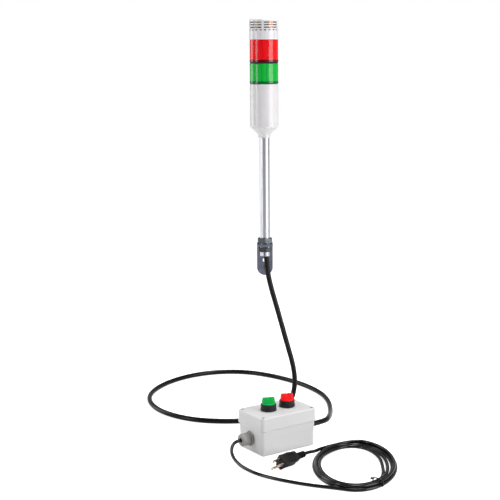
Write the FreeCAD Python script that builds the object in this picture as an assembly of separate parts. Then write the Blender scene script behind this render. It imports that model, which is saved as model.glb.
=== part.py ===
import FreeCAD, Part
import math
import os
from FreeCAD import Placement, Rotation, Vector

# Prewired two-colour stack light with a sounder cap, on a pole with an L bracket,
# its hand control box, the lamp lead between them and the coiled mains cord.
# Millimetres.  +Z is up, +Y points into the wall that carries the bracket,
# and the origin is the middle of the bracket's bolt hole on the wall side.

os.makedirs("parts", exist_ok=True)

# ---------------------------------------------------------------- tower: driving dimensions
AXIS_TO_WALL = 24.0        # pole axis in front of the wall face
FLOOR_Z = -335.0           # surface that the control box stands on

BRACKET_WIDTH = 32.0
BRACKET_THICK = 3.4
BRACKET_BEND_R = 4.4
LEG_TOP_Z = 37.3           # top face of the horizontal leg
LEG_FRONT = 18.0           # leg edge in front of the pole axis
LEG_CORNER_R = 3.0
BOLT_HOLE_R = 4.5
EARTH_SCREW_Z = -15.2
EARTH_SCREW_R = 2.0
EARTH_HEAD_R = 3.4
EARTH_HEAD_H = 2.4
SCREW_FIT = 0.05

POLE_R = 10.0
POLE_BORE_R = 8.0
POLE_END_Z = 13.0
POLE_TOP_Z = 276.0
POLE_FIT = 0.08
POLE_SLIT_W = 1.6
POLE_SLIT_H = 8.0
NUT_AF = 28.0
NUT_H = 9.5
NUT_CHAMFER = 1.4
UPPER_NUT_TURN = 4.0
LOWER_NUT_TURN = 10.0
WASHER_H = 2.4
WASHER_RING_T = 1.2
WASHER_RING_R = 12.6
WASHER_TOOTH_R = 15.4
WASHER_TEETH = 18

NECK_R = 12.0
NECK_Z = 251.0
NECK_H = 7.0
CONE_H = 15.0
BODY_R = 27.9
BODY_WALL = 2.2
BASE_LIP_H = 7.6           # straight band of the base above its cone
SEAM_W = 0.5               # shadow groove between base and body
BODY_TOP_Z = 357.2
BODY_TOP_CHAMFER = 1.0
RIM_INNER_R = 22.0         # inner edge of each seat between tiers
SEAT_T = 2.4
BASE_FLOOR_T = 8.0         # solid part of the cone, round the pole
CONE_WALL = 3.3
LOCK_NUT_H = 6.0

THIN_SEAL_T = 0.8
THICK_SEAL_T = 3.0
SEAL_SETBACK = 0.3
GREEN_LENS_H = 38.5
RED_LENS_H = 42.5
LENS_R = 28.05
LENS_WALL = 2.4
LENS_FLUTE_DEPTH = 0.7
LENS_FLUTES = 48
LENS_BAND_H = 4.0
LENS_BAND_PROUD = 0.2
LENS_DASHES = 16
DASH_W = 3.0
DASH_H = 0.9
DASH_DEPTH = 0.4
CONTROL_PARTS = (18.0, 12.0, 9.0)
CONTROL_BOARD_AT = 0.7     # height of the board as a share of the body's
LAMP_DISC_T = 2.0
LAMP_DISC_GAP = 0.3
LAMP_CORE_R = 9.0
LAMP_CORE_H = 30.0
LED_SIZE = 3.4
LED_PROUD = 1.2
LED_ROWS = 3

CAP_R = 28.4
CAP_H = 40.3
CAP_WALL = 2.0
CAP_TOP_FILLET = 4.5
CAP_LIP_H = 1.6
CAP_LIP_PROUD = 0.25
CAP_GROUPS = 5             # slot groups around the cap
CAP_RIB_DEG = 10.0
CAP_FIRST_DEG = -90.0      # first group starts on the front line
CAP_SLOT_ROWS = (33.0, 28.2, 23.4)   # slot heights above the cap's foot
CAP_SLOT_H = 2.1
CAP_HOLE_ROW = 18.4
CAP_HOLE_DEG = 8.5
CAP_HOLES_PER_GROUP = 4
BOARD_LEDGE_Z = 6.0
BOARD_LEDGE_W = 3.0
BOARD_T = 1.6
SOUNDER_R = 15.0
SOUNDER_H = 17.0
COIL_R = 4.5
COIL_H = 16.0
COIL_AT = (12.5, -14.0)

# ---------------------------------------------------------------- control box
BOX_AT = (19.6, -175.6)
BOX_TURN = 34.4
BOX_LENGTH = 130.0
BOX_WIDTH = 86.0
BOX_HEIGHT = 75.0
BOX_SEAM_Z = 48.5
BOX_CORNER_R = 8.0
BOX_WALL = 3.0
BASE_INSET = 2.6           # base walls stand in from the lid's edge
BASE_DRAFT = 1.2
BASE_FOOT_CHAMFER = 1.2
LID_STEP_Z = 60.0
LID_STEP = 0.7
LID_EDGE_R = 1.8
LID_THICK = 3.0
LID_SHOULDER = 6.0         # thick rim above the seam that holds the seal
POST_INSET = 8.2
POST_R = 5.2
PILOT_R = 1.6
SCREW_R = 1.5
SCREW_HOLE_R = 2.0
SCREW_HEAD_R = 2.9
SCREW_HEAD_H = 2.2
SCREW_SUNK = 0.8
SCREW_LENGTH = 44.0
SEAL_W = 1.4
SEAL_T = 1.0
TERMINAL_SIZE = (52.0, 16.0, 13.0)
TERMINAL_POLES = 6
TERMINAL_HOLE_R = 2.0

SWITCH_SPACING = 44.0
SWITCH_SHIFT = 2.0         # both switches stand a little nearer the lead's end
PANEL_HOLE_R = 11.2
BARREL_R = 11.0
BARREL_LENGTH = 24.0
GASKET_R = 14.8
GASKET_T = 1.0
FLANGE_R = 14.2
FLANGE_T = 2.5
BEZEL_R = 15.0
BEZEL_FOOT_R = 15.5
BEZEL_FOOT_H = 3.6
BEZEL_H = 12.0
BEZEL_GROOVE = 0.5
BEZEL_FIT = 0.05
KNOB_R = 13.3
KNOB_GAP = 0.3
KNOB_DISC_H = 1.7
KNOB_BAR = (25.0, 11.4)
KNOB_BAR_TOP = (23.0, 7.0)
KNOB_BAR_H = 10.8
KNOB_BAR_R = 1.2
KNOB_NOTCH_W = 4.4
KNOB_NOTCH_H = 1.3
KNOB_REST = -20.0          # how the bar stands to the box's long side when off
EDGE_SOFT = 0.7
STEM_R = 5.0
STEM_FIT = 0.1
STEM_SHORT = 0.3           # the stem ends just above the contact block
LOCKNUT_AF = 27.0
LOCKNUT_H = 4.0
CONTACT_SIZE = (28.0, 22.0, 22.0)
CONTACT_SCREW_R = 2.2

GLAND_Z = 27.0
GLAND_AF = 25.0
GLAND_NUT_AF = 21.6
GLAND_HEX_CHAMFER = 1.0
GLAND_PAD_R = 15.0         # flat pads on the drafted end walls
GLAND_PAD_H = 0.4
GLAND_THREAD_R = 9.6
GLAND_HEX_H = 5.0
GLAND_SKIRT_GAP = 0.4
GLAND_RING_R = 12.0
GLAND_RING_H = 6.8
GLAND_RING_FILLET = 2.6
GLAND_MOUTH = 1.4          # soft seal that shows round the cord
GLAND_FIT = 0.1
GLAND_TURN = 12.0
MAINS_REACH = 22.72
LEAD_REACH = 19.22

# ---------------------------------------------------------------- cords and plug
LEAD_R = 5.2
LEAD_SIDE = 2.4            # the lead lies to one side of the pole's bore
MAINS_R = 3.2

# Lamp lead, from the pole's open end to the gland on the box's far end wall.
LEAD_POINTS = [
    (2.4, -24.0, 13.0), (4.0, -24.0, -14.0), (10.5, -24.2, -48.0), (23.0, -24.8, -92.0),
    (43.0, -26.0, -166.0), (57.8, -27.5, -219.0), (60.8, -28.8, -259.0), (49.5, -30.8, -299.0),
    (14.0, -33.0, -325.5), (-33.0, -36.0, -329.8), (-86.0, -40.5, -329.8),
    (-142.0, -31.0, -329.8), (-190.0, -2.0, -329.8), (-227.0, 40.0, -329.8),
    (-249.0, 92.0, -329.8), (-255.5, 147.0, -329.8), (-243.0, 205.0, -329.8),
    (-213.0, 262.0, -329.8), (-164.0, 311.0, -329.8), (-104.0, 336.0, -329.8),
    (-42.0, 333.0, -329.8), (14.0, 302.0, -329.8), (62.0, 258.0, -329.8),
    (101.0, 206.0, -329.8), (128.0, 148.0, -329.8), (138.0, 90.0, -329.6),
    (137.5, 34.0, -328.0), (133.5, -21.0, -321.0), (126.5, -73.0, -312.0)]
# Mains cord, from the gland on the near end wall to the coil.
MAINS_POINTS = [
    (-65.5, -238.5, -311.0), (-68.5, -252.5, -318.0), (-65.0, -268.0, -325.5),
    (-56.0, -286.5, -330.4), (-43.5, -309.0, -331.8), (-19.0, -342.0, -331.8),
    (19.0, -369.5, -331.8), (67.0, -394.5, -331.8), (117.0, -412.0, -331.8)]
# Last stretch, from the coil to the plug's strain relief.
PLUG_LEAD_POINTS = [
    (129.0, -184.0, -331.0), (108.0, -206.0, -331.6), (88.0, -233.0, -329.4)]
FIRST_RUN = 10.0           # straight run out of the mains gland
LEAD_LAST_RUN = 38.0       # straight run into the lead gland
PLUG_RUN = 17.0            # straight run into the plug
ARC_SHARE = 0.45           # share of the shorter run that each arc takes

COIL_OUTER = (159.4, -299.5, 78.4, 127.8)   # centre and half axes
COIL_INNER = (153.2, -303.5, 58.5, 107.5)
COIL_END_SHARE = 0.66      # radius of the oval's ends over its short half axis
COIL_TURN = -5.0
COIL_HEIGHT = 13.0
COIL_EDGE = 3.0
TIE_DEG = -55.0
TIE_WIDTH = 4.5
TIE_THICK = 1.2
TIE_TAIL_R = 1.8
TIE_REACH = 31.0           # from the coil's outer edge, across the bundle, to the tail's end

PLUG_AT = (23.0, -313.5)   # middle of the plug's front face
PLUG_TURN = 226.5
PLUG_ROLL = -32.0
PLUG_LENGTH = 44.0
PLUG_TOP = 9.5
PLUG_BOTTOM = -13.5
PLUG_HALF_WIDTH = 12.8
PLUG_PAD = (15.0, 12.0, 0.7)
PLUG_REAR = (0.8, 0.78, 0.5)  # rear section's width, top and bottom as shares of the front's
RELIEF_LENGTH = 20.0
RELIEF_R = 5.7
RELIEF_TIP_R = 5.0
RELIEF_RIBS = 4
RELIEF_GROOVE = 1.1
BLADE_SIZE = (17.0, 1.6, 6.35)
BLADE_SPACING = 12.7
BLADE_HOLE_R = 1.6
BLADE_Z = 3.0
EARTH_DROP = 11.9
EARTH_R = 2.4
EARTH_LENGTH = 20.5

# ---------------------------------------------------------------- derived sizes
LEG_UNDER_Z = LEG_TOP_Z - BRACKET_THICK
UPPER_NUT_Z = LEG_TOP_Z + WASHER_H
LOWER_NUT_Z = LEG_UNDER_Z - WASHER_H - NUT_H
CONE_Z = NECK_Z + NECK_H
BASE_RIM_Z = CONE_Z + CONE_H
BODY_Z = BASE_RIM_Z + BASE_LIP_H
GREEN_Z = BODY_TOP_Z + THIN_SEAL_T
MIDDLE_SEAL_Z = GREEN_Z + GREEN_LENS_H
RED_Z = MIDDLE_SEAL_Z + THICK_SEAL_T
UPPER_SEAL_Z = RED_Z + RED_LENS_H
CAP_Z = UPPER_SEAL_Z + THIN_SEAL_T
TOWER = Vector(0, -AXIS_TO_WALL, 0)
UP = Vector(0, 0, 1)
COLOURS = (("green", -1.0), ("red", 1.0))


# ---------------------------------------------------------------- helpers
def export(shape, name):
    shape.exportStep("parts/" + name + ".step")


def group(shapes):
    return Part.makeCompound(shapes)


def ring(r_out, r_in, height, z=0.0):
    outer = Part.makeCylinder(r_out, height, Vector(0, 0, z))
    return outer.cut(Part.makeCylinder(r_in, height, Vector(0, 0, z)))


def turned(points):
    """Solid of revolution about Z from (radius, height) corners."""
    corners = [Vector(r, 0, z) for r, z in points]
    face = Part.Face(Part.makePolygon(corners + corners[:1]))
    return face.revolve(Vector(0, 0, 0), UP, 360)


def sector(r_in, r_out, height, z, start, sweep):
    """Part of a flat ring between two angles."""
    face = Part.Face(Part.makePolygon([
        Vector(r_in, 0, z), Vector(r_out, 0, z), Vector(r_out, 0, z + height),
        Vector(r_in, 0, z + height), Vector(r_in, 0, z)]))
    face.rotate(Vector(0, 0, 0), UP, start)
    return face.revolve(Vector(0, 0, 0), UP, sweep)


def polar(radius, degrees, z=0.0):
    angle = math.radians(degrees)
    return Vector(radius * math.cos(angle), radius * math.sin(angle), z)


def hexagon(across_flats, height, z=0.0, turn=0.0):
    corner_r = across_flats / 2 / math.cos(math.radians(30))
    corners = [polar(corner_r, 60 * i + turn, z) for i in range(7)]
    return Part.Face(Part.makePolygon(corners)).extrude(Vector(0, 0, height))


def chamfered_hex(across_flats, height, chamfer, z=0.0, turn=0.0):
    """Hexagon whose corners are turned off at both ends, as on a machined nut."""
    corner_r = across_flats / 2 / math.cos(math.radians(30))
    flat_r = across_flats / 2
    barrel = turned([(0, z), (flat_r, z), (corner_r, z + chamfer),
                     (corner_r, z + height - chamfer), (flat_r, z + height), (0, z + height)])
    return hexagon(across_flats, height, z, turn).common(barrel)


def rounded_rectangle(length, width, radius, z):
    """Closed wire, centred, with arcs at its corners."""
    x, y = length / 2, width / 2
    k = radius * (1 - math.sqrt(0.5))
    edges = []
    corners = [(x, y, 1, 1), (-x, y, -1, 1), (-x, -y, -1, -1), (x, -y, 1, -1)]
    ends = []
    for cx, cy, sx, sy in corners:
        on_x = Vector(cx - sx * radius, cy, z)
        on_y = Vector(cx, cy - sy * radius, z)
        middle = Vector(cx - sx * k, cy - sy * k, z)
        first, last = (on_y, on_x) if sx == sy else (on_x, on_y)
        edges.append(Part.Arc(first, middle, last).toShape())
        ends.append((first, last))
    for i in range(4):
        edges.append(Part.makeLine(ends[i][1], ends[(i + 1) % 4][0]))
    return Part.Wire(Part.__sortEdges__(edges))


def frustum(foot, top, z, height, corner_r):
    """Block with sloping sides and rounded upright edges; foot and top are (length, width)."""
    x, y = foot[0] / 2, foot[1] / 2
    top_x, top_y = top[0] / 2, top[1] / 2
    block = Part.makeWedge(-x, 0, -y, -top_y, -top_x, x, height, y, top_y, top_x)
    block.rotate(Vector(0, 0, 0), Vector(1, 0, 0), 90)
    block.translate(Vector(0, 0, z))
    upright = [e for e in block.Edges if e.BoundBox.ZLength > height / 2]
    return block.makeFillet(corner_r, upright)


def prism(wire, height):
    return Part.Face(wire).extrude(Vector(0, 0, height))


def edges_at(shape, z):
    """Edges that lie wholly in the plane of height z."""
    return [e for e in shape.Edges if abs(e.BoundBox.ZMin - z) < 1e-4 and abs(e.BoundBox.ZMax - z) < 1e-4]


def cord_path(points):
    """Straight runs joined by tangent arcs; returns the wire and its radii."""
    pts = [Vector(*p) for p in points]
    edges = []
    radii = []
    start = pts[0]
    for before, here, after in zip(pts, pts[1:], pts[2:]):
        into = here - before
        out = after - here
        shorter = min(into.Length, out.Length)
        into.normalize()
        out.normalize()
        turn = into.getAngle(out)
        reach = ARC_SHARE * shorter
        radii.append(reach / math.tan(turn / 2))
        a = here - into * reach
        b = here + out * reach
        inward = out - into
        inward.normalize()
        drop = radii[-1] * (1 / math.cos(turn / 2) - 1)
        edges.append(Part.LineSegment(start, a).toShape())
        edges.append(Part.Arc(a, here + inward * drop, b).toShape())
        start = b
    edges.append(Part.LineSegment(start, pts[-1]).toShape())
    return Part.Wire(edges), radii


def cord(points, radius, name):
    """Round tube along a cord's route."""
    path, radii = cord_path(points)
    first = Vector(*points[0])
    heading = Vector(*points[1]) - first
    section = Part.Wire(Part.makeCircle(radius, first, heading))
    tube = path.makePipeShell([section], True, True)
    expected = math.pi * radius ** 2 * path.Length
    print(name, "length %.0f" % path.Length, "volume ratio %.4f" % (tube.Volume / expected),
          "radii", " ".join("%.0f" % r for r in radii))
    return tube


# ---------------------------------------------------------------- bracket and pole
def make_l_bracket():
    """Folded zinc-plated strip: a leg on the wall and a leg under the pole."""
    t = BRACKET_THICK
    r = BRACKET_BEND_R
    half = BRACKET_WIDTH / 2
    foot_z = EARTH_SCREW_Z - half
    front = -AXIS_TO_WALL - LEG_FRONT
    k = math.sqrt(0.5)
    outer_c = Vector(0, -r, LEG_TOP_Z - r)
    inner_r = r - t
    edges = [
        Part.makeLine(Vector(0, 0, foot_z), Vector(0, 0, LEG_TOP_Z - r)),
        Part.Arc(Vector(0, 0, LEG_TOP_Z - r), outer_c + Vector(0, r * k, r * k),
                 Vector(0, -r, LEG_TOP_Z)).toShape(),
        Part.makeLine(Vector(0, -r, LEG_TOP_Z), Vector(0, front, LEG_TOP_Z)),
        Part.makeLine(Vector(0, front, LEG_TOP_Z), Vector(0, front, LEG_UNDER_Z)),
        Part.makeLine(Vector(0, front, LEG_UNDER_Z), Vector(0, -r, LEG_UNDER_Z)),
        Part.Arc(Vector(0, -r, LEG_UNDER_Z), outer_c + Vector(0, inner_r * k, inner_r * k),
                 Vector(0, -t, LEG_TOP_Z - r)).toShape(),
        Part.makeLine(Vector(0, -t, LEG_TOP_Z - r), Vector(0, -t, foot_z)),
        Part.makeLine(Vector(0, -t, foot_z), Vector(0, 0, foot_z))]
    strip = Part.Face(Part.Wire(edges)).extrude(Vector(BRACKET_WIDTH, 0, 0))
    strip.translate(Vector(-half, 0, 0))
    through_y = Vector(0, 1, 0)
    deep = 3 * (AXIS_TO_WALL + LEG_FRONT)
    round_end = Part.makeCylinder(half, deep, Vector(0, -deep / 2, EARTH_SCREW_Z), through_y)
    above = Part.makeBox(BRACKET_WIDTH, deep, LEG_TOP_Z - EARTH_SCREW_Z,
                         Vector(-half, -deep / 2, EARTH_SCREW_Z))
    strip = strip.common(round_end.fuse(above).removeSplitter()).Solids[0]
    corners = [e for e in strip.Edges
               if abs(e.BoundBox.YMax - front) < 1e-4 and e.BoundBox.ZLength > t / 2]
    strip = strip.makeFillet(LEG_CORNER_R, corners)
    bolt_hole = Part.makeCylinder(BOLT_HOLE_R, 2 * t, Vector(0, -t * 1.5, 0), through_y)
    earth_hole = Part.makeCylinder(EARTH_SCREW_R + SCREW_FIT, 2 * t,
                                   Vector(0, -t * 1.5, EARTH_SCREW_Z), through_y)
    pole_hole = Part.makeCylinder(POLE_R + POLE_FIT, 2 * t, TOWER + Vector(0, 0, LEG_UNDER_Z - t / 2))
    return strip.cut(bolt_hole).cut(earth_hole).cut(pole_hole)


def make_bracket_screw():
    """Small earth screw, its thread flush with the wall face."""
    head = Part.makeCylinder(EARTH_HEAD_R, EARTH_HEAD_H, Vector(0, 0, 0))
    head = head.makeFillet(EARTH_HEAD_H / 3, edges_at(head, EARTH_HEAD_H))
    shank = Part.makeCylinder(EARTH_SCREW_R, BRACKET_THICK, Vector(0, 0, -BRACKET_THICK))
    screw = head.fuse(shank)
    screw.rotate(Vector(0, 0, 0), Vector(1, 0, 0), 90)
    screw.translate(Vector(0, -BRACKET_THICK, EARTH_SCREW_Z))
    return screw


def make_pole():
    tube = ring(POLE_R, POLE_BORE_R, POLE_TOP_Z - POLE_END_Z, POLE_END_Z)
    slit = Part.makeBox(POLE_SLIT_W, POLE_R * 2, POLE_SLIT_H, Vector(-POLE_SLIT_W, -POLE_R * 2, POLE_END_Z))
    tube = tube.cut(slit)
    tube.translate(TOWER)
    return tube


def make_pole_nuts():
    """Two equal thin nuts that clamp the leg of the bracket."""
    nuts = []
    for z, turn in ((UPPER_NUT_Z, UPPER_NUT_TURN), (LOWER_NUT_Z, LOWER_NUT_TURN)):
        nut = chamfered_hex(NUT_AF, NUT_H, NUT_CHAMFER, z, turn - 90)
        nut = nut.cut(Part.makeCylinder(POLE_R + POLE_FIT, NUT_H, Vector(0, 0, z)))
        nut.translate(TOWER)
        nuts.append(nut)
    return group(nuts)


def toothed_washer():
    """Ring with twisted outer teeth, standing on z = 0."""
    washer = ring(WASHER_RING_R, POLE_R + POLE_FIT, WASHER_RING_T)
    tooth_w = 2 * math.pi * WASHER_RING_R / WASHER_TEETH * 0.55
    tooth_l = WASHER_TOOTH_R - WASHER_RING_R + 0.6
    low = WASHER_RING_T * 0.9
    for i in range(WASHER_TEETH):
        corners = [Vector(0, -tooth_w / 2, 0), Vector(0, tooth_w / 2, WASHER_H - low),
                   Vector(0, tooth_w / 2, WASHER_H), Vector(0, -tooth_w / 2, low)]
        tooth = Part.Face(Part.makePolygon(corners + corners[:1])).extrude(Vector(tooth_l, 0, 0))
        tooth.translate(Vector(WASHER_TOOTH_R - tooth_l, 0, 0))
        tooth.rotate(Vector(0, 0, 0), UP, 360.0 / WASHER_TEETH * i)
        washer = washer.fuse(tooth)
    return washer.cut(Part.makeCylinder(POLE_R + POLE_FIT, WASHER_H))


def make_toothed_washers():
    upper = toothed_washer()
    upper.translate(TOWER + Vector(0, 0, LEG_TOP_Z))
    lower = toothed_washer()
    lower.rotate(Vector(0, 0, 0), Vector(1, 0, 0), 180)
    lower.translate(TOWER + Vector(0, 0, LEG_UNDER_Z))
    return group([upper, lower])


def make_inner_lead():
    """The lamp lead's last stretch, up inside the pole to the control board."""
    rod = Part.makeCylinder(LEAD_R, control_board_z() - POLE_END_Z, Vector(LEAD_SIDE, 0, POLE_END_Z))
    rod.translate(TOWER)
    return rod


# ---------------------------------------------------------------- tower
def make_tower_base():
    """Cone that grips the pole, with a lip that carries the body."""
    inner_r = BODY_R - BODY_WALL
    floor_z = CONE_Z + BASE_FLOOR_T
    floor_r = NECK_R + (BODY_R - NECK_R) * BASE_FLOOR_T / CONE_H - CONE_WALL
    shell = turned([
        (POLE_R + POLE_FIT, NECK_Z), (NECK_R - 0.8, NECK_Z), (NECK_R, NECK_Z + 0.8), (NECK_R, CONE_Z),
        (BODY_R, BASE_RIM_Z), (BODY_R, BODY_Z - SEAM_W), (BODY_R - SEAM_W, BODY_Z - SEAM_W),
        (BODY_R - SEAM_W, BODY_Z), (inner_r, BODY_Z), (inner_r, BASE_RIM_Z),
        (floor_r, floor_z), (POLE_R + POLE_FIT, floor_z)])
    shell.translate(TOWER)
    return shell


def make_pole_lock_nut():
    """Nut that holds the pole's upper end down on the base's floor."""
    z = CONE_Z + BASE_FLOOR_T
    nut = chamfered_hex(NUT_AF, LOCK_NUT_H, NUT_CHAMFER, z)
    nut = nut.cut(Part.makeCylinder(POLE_R + POLE_FIT, LOCK_NUT_H, Vector(0, 0, z)))
    nut.translate(TOWER)
    return nut


def control_board_z():
    return BODY_Z + (BODY_TOP_Z - BODY_Z) * CONTROL_BOARD_AT


def make_tower_body():
    inner_r = BODY_R - BODY_WALL
    c = BODY_TOP_CHAMFER
    seat_z = BODY_TOP_Z - SEAT_T
    board_z = control_board_z()
    ledge_r = inner_r - BOARD_LEDGE_W
    shell = turned([
        (inner_r, BODY_Z), (BODY_R, BODY_Z), (BODY_R, BODY_TOP_Z - c), (BODY_R - c, BODY_TOP_Z),
        (RIM_INNER_R, BODY_TOP_Z), (RIM_INNER_R, seat_z), (inner_r, seat_z),
        (inner_r, board_z), (ledge_r, board_z), (ledge_r, board_z - SEAT_T), (inner_r, board_z - SEAT_T * 2)])
    shell.translate(TOWER)
    return shell


def make_control_board():
    z = control_board_z()
    disc = Part.makeCylinder(BODY_R - BODY_WALL - LAMP_DISC_GAP, BOARD_T, Vector(0, 0, z))
    parts = Part.makeBox(CONTROL_PARTS[0], CONTROL_PARTS[1], CONTROL_PARTS[2],
                         Vector(-CONTROL_PARTS[0] / 2, -CONTROL_PARTS[1] / 2, z + BOARD_T))
    board = disc.fuse(parts)
    board.translate(TOWER)
    return board


def make_seal(z, thick, radius):
    seal = ring(radius - SEAL_SETBACK, RIM_INNER_R, thick, z)
    seal.translate(TOWER)
    return seal


def make_lens(z, height):
    """Clear moulded tube, fluted inside, with a locking band at its foot."""
    band_r = LENS_R + LENS_BAND_PROUD
    shell = turned([
        (0, z), (band_r, z), (band_r, z + LENS_BAND_H), (LENS_R - 0.3, z + LENS_BAND_H),
        (LENS_R - 0.3, z + LENS_BAND_H + 0.5), (LENS_R, z + LENS_BAND_H + 0.5),
        (LENS_R, z + height), (0, z + height)])
    flute_r = LENS_R - LENS_WALL
    corners = []
    for i in range(2 * LENS_FLUTES):
        radius = flute_r if i % 2 else flute_r + LENS_FLUTE_DEPTH
        corners.append(polar(radius, 180.0 / LENS_FLUTES * i, z))
    flutes = Part.Face(Part.makePolygon(corners + corners[:1])).extrude(Vector(0, 0, height))
    shell = shell.cut(flutes)
    dash = Part.makeBox(DASH_DEPTH * 2, DASH_W, DASH_H,
                        Vector(band_r - DASH_DEPTH, -DASH_W / 2, z + (LENS_BAND_H - DASH_H) / 2))
    dashes = []
    for i in range(LENS_DASHES):
        one = dash.copy()
        one.rotate(Vector(0, 0, 0), UP, 360.0 / LENS_DASHES * (i + 0.5))
        dashes.append(one)
    shell = shell.cut(dashes)
    shell.translate(TOWER)
    return shell


def make_lamp_core(z):
    """White hexagonal column on a disc, which carries one tier's lamps."""
    disc_r = LENS_R - LENS_WALL - LAMP_DISC_GAP
    disc = Part.makeCylinder(disc_r, LAMP_DISC_T, Vector(0, 0, z))
    column = hexagon(LAMP_CORE_R * 2, LAMP_CORE_H, z + LAMP_DISC_T)
    core = disc.fuse(column)
    core.translate(TOWER)
    return core


def make_leds(z):
    leds = []
    for row in range(LED_ROWS):
        height = z + LAMP_DISC_T + LAMP_CORE_H * (row + 0.6) / LED_ROWS
        for side in range(6):
            led = Part.makeBox(LED_PROUD, LED_SIZE, LED_SIZE,
                               Vector(LAMP_CORE_R, -LED_SIZE / 2, height - LED_SIZE / 2))
            led.rotate(Vector(0, 0, 0), UP, 60 * side + 30)
            led.translate(TOWER)
            leds.append(led)
    return group(leds)


# ---------------------------------------------------------------- sounder cap
def make_sound_cap():
    """Cap with three rows of long slots and one of short holes, in five groups."""
    inner_r = CAP_R - CAP_WALL
    lip_r = CAP_R + CAP_LIP_PROUD
    ledge = BOARD_LEDGE_Z
    shell = turned([
        (inner_r, 0), (lip_r, 0), (lip_r, CAP_LIP_H), (CAP_R, CAP_LIP_H + CAP_LIP_PROUD),
        (CAP_R, CAP_H), (0, CAP_H), (0, CAP_H - CAP_WALL), (inner_r, CAP_H - CAP_WALL),
        (inner_r, ledge), (inner_r - BOARD_LEDGE_W, ledge),
        (inner_r - BOARD_LEDGE_W, ledge - CAP_WALL), (inner_r, ledge - CAP_WALL - BOARD_LEDGE_W)])
    shell = shell.makeFillet(CAP_TOP_FILLET, edges_at(shell, CAP_H))
    pitch = 360.0 / CAP_GROUPS
    slot_deg = pitch - CAP_RIB_DEG
    hole_pitch = pitch / CAP_HOLES_PER_GROUP
    cutters = []
    for i in range(CAP_GROUPS):
        start = CAP_FIRST_DEG + pitch * i
        for height in CAP_SLOT_ROWS:
            cutters.append(sector(inner_r - 1, lip_r + 1, CAP_SLOT_H, height - CAP_SLOT_H / 2, start, slot_deg))
        for j in range(CAP_HOLES_PER_GROUP):
            cutters.append(sector(inner_r - 1, lip_r + 1, CAP_SLOT_H, CAP_HOLE_ROW - CAP_SLOT_H / 2,
                                  start + hole_pitch * j, CAP_HOLE_DEG))
    shell = shell.cut(cutters)
    shell.translate(TOWER + Vector(0, 0, CAP_Z))
    return shell


def make_sounder_board():
    disc = Part.makeCylinder(CAP_R - CAP_WALL - LAMP_DISC_GAP, BOARD_T)
    disc.translate(TOWER + Vector(0, 0, CAP_Z + BOARD_LEDGE_Z))
    return disc


def make_sounder():
    z = CAP_Z + BOARD_LEDGE_Z + BOARD_T
    can = Part.makeCylinder(SOUNDER_R, SOUNDER_H, Vector(0, 0, z))
    can = can.makeFillet(1.5, edges_at(can, z + SOUNDER_H))
    can = can.cut(Part.makeCylinder(SOUNDER_R / 3, 2, Vector(0, 0, z + SOUNDER_H - 2)))
    can.translate(TOWER + Vector(-COIL_R, COIL_R, 0))
    return can


def make_sounder_coil():
    z = CAP_Z + BOARD_LEDGE_Z + BOARD_T
    flange = 1.0
    x, y = COIL_AT
    coil = turned([(0, 0), (COIL_R, 0), (COIL_R, flange), (COIL_R - flange, flange),
                   (COIL_R - flange, COIL_H - flange), (COIL_R, COIL_H - flange), (COIL_R, COIL_H), (0, COIL_H)])
    coil.translate(TOWER + Vector(x, y, z))
    return coil


# ---------------------------------------------------------------- control box
def placed_box(shape):
    """From the box's own frame (foot centre, length along X) to the part's frame."""
    x, y = BOX_AT
    shape.rotate(Vector(0, 0, 0), UP, BOX_TURN)
    shape.translate(Vector(x, y, FLOOR_Z))
    return shape


def box_point(x, y, z):
    angle = math.radians(BOX_TURN)
    return Vector(BOX_AT[0] + x * math.cos(angle) - y * math.sin(angle),
                  BOX_AT[1] + x * math.sin(angle) + y * math.cos(angle), FLOOR_Z + z)


def post_places():
    x = BOX_LENGTH / 2 - POST_INSET
    y = BOX_WIDTH / 2 - POST_INSET
    return [(sx * x, sy * y) for sx in (-1, 1) for sy in (-1, 1)]


def box_outline(inset, z):
    return rounded_rectangle(BOX_LENGTH - 2 * inset, BOX_WIDTH - 2 * inset, BOX_CORNER_R - inset, z)


def base_block(inset, z):
    """Drafted block of the base, from height z to the seam."""
    foot = inset + BASE_DRAFT * (1 - z / BOX_SEAM_Z)
    return frustum((BOX_LENGTH - 2 * foot, BOX_WIDTH - 2 * foot),
                   (BOX_LENGTH - 2 * inset, BOX_WIDTH - 2 * inset), z, BOX_SEAM_Z - z, BOX_CORNER_R - inset)


def end_wall_x():
    """Outside of the end wall, at the height of the glands."""
    return BOX_LENGTH / 2 - BASE_INSET - BASE_DRAFT * (1 - GLAND_Z / BOX_SEAM_Z)


def make_box_base():
    """Drafted tub with corner posts, and a flat pad and hole for a gland in each end wall."""
    outer = base_block(BASE_INSET, 0)
    outer = outer.makeChamfer(BASE_FOOT_CHAMFER, edges_at(outer, 0))
    hollow = base_block(BASE_INSET + BOX_WALL, BOX_WALL)
    posts = [Part.makeCylinder(POST_R, BOX_SEAM_Z, Vector(x, y, 0)) for x, y in post_places()]
    tub = outer.cut(hollow).fuse(outer.common(posts[0].fuse(posts[1:])))
    for x, y in post_places():
        tub = tub.cut(Part.makeCylinder(PILOT_R, BOX_SEAM_Z, Vector(x, y, BOX_WALL)))
    along = Vector(1, 0, 0)
    for side in (-1, 1):
        inner_x = side * (end_wall_x() - BOX_WALL - GLAND_PAD_H)
        grip = BOX_WALL + 2 * GLAND_PAD_H
        tub = tub.fuse(Part.makeCylinder(GLAND_PAD_R, grip, Vector(inner_x, 0, GLAND_Z), along * side))
    bore = Part.makeCylinder(GLAND_THREAD_R + GLAND_FIT, BOX_LENGTH + 2,
                             Vector(-BOX_LENGTH / 2 - 1, 0, GLAND_Z), along)
    return placed_box(tub.cut(bore).removeSplitter())


def seal_ring(z, width, thick):
    inset = BASE_INSET + (BOX_WALL - width) / 2
    outer = prism(box_outline(inset, z), thick)
    return outer.cut(prism(box_outline(inset + width, z), thick))


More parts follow.
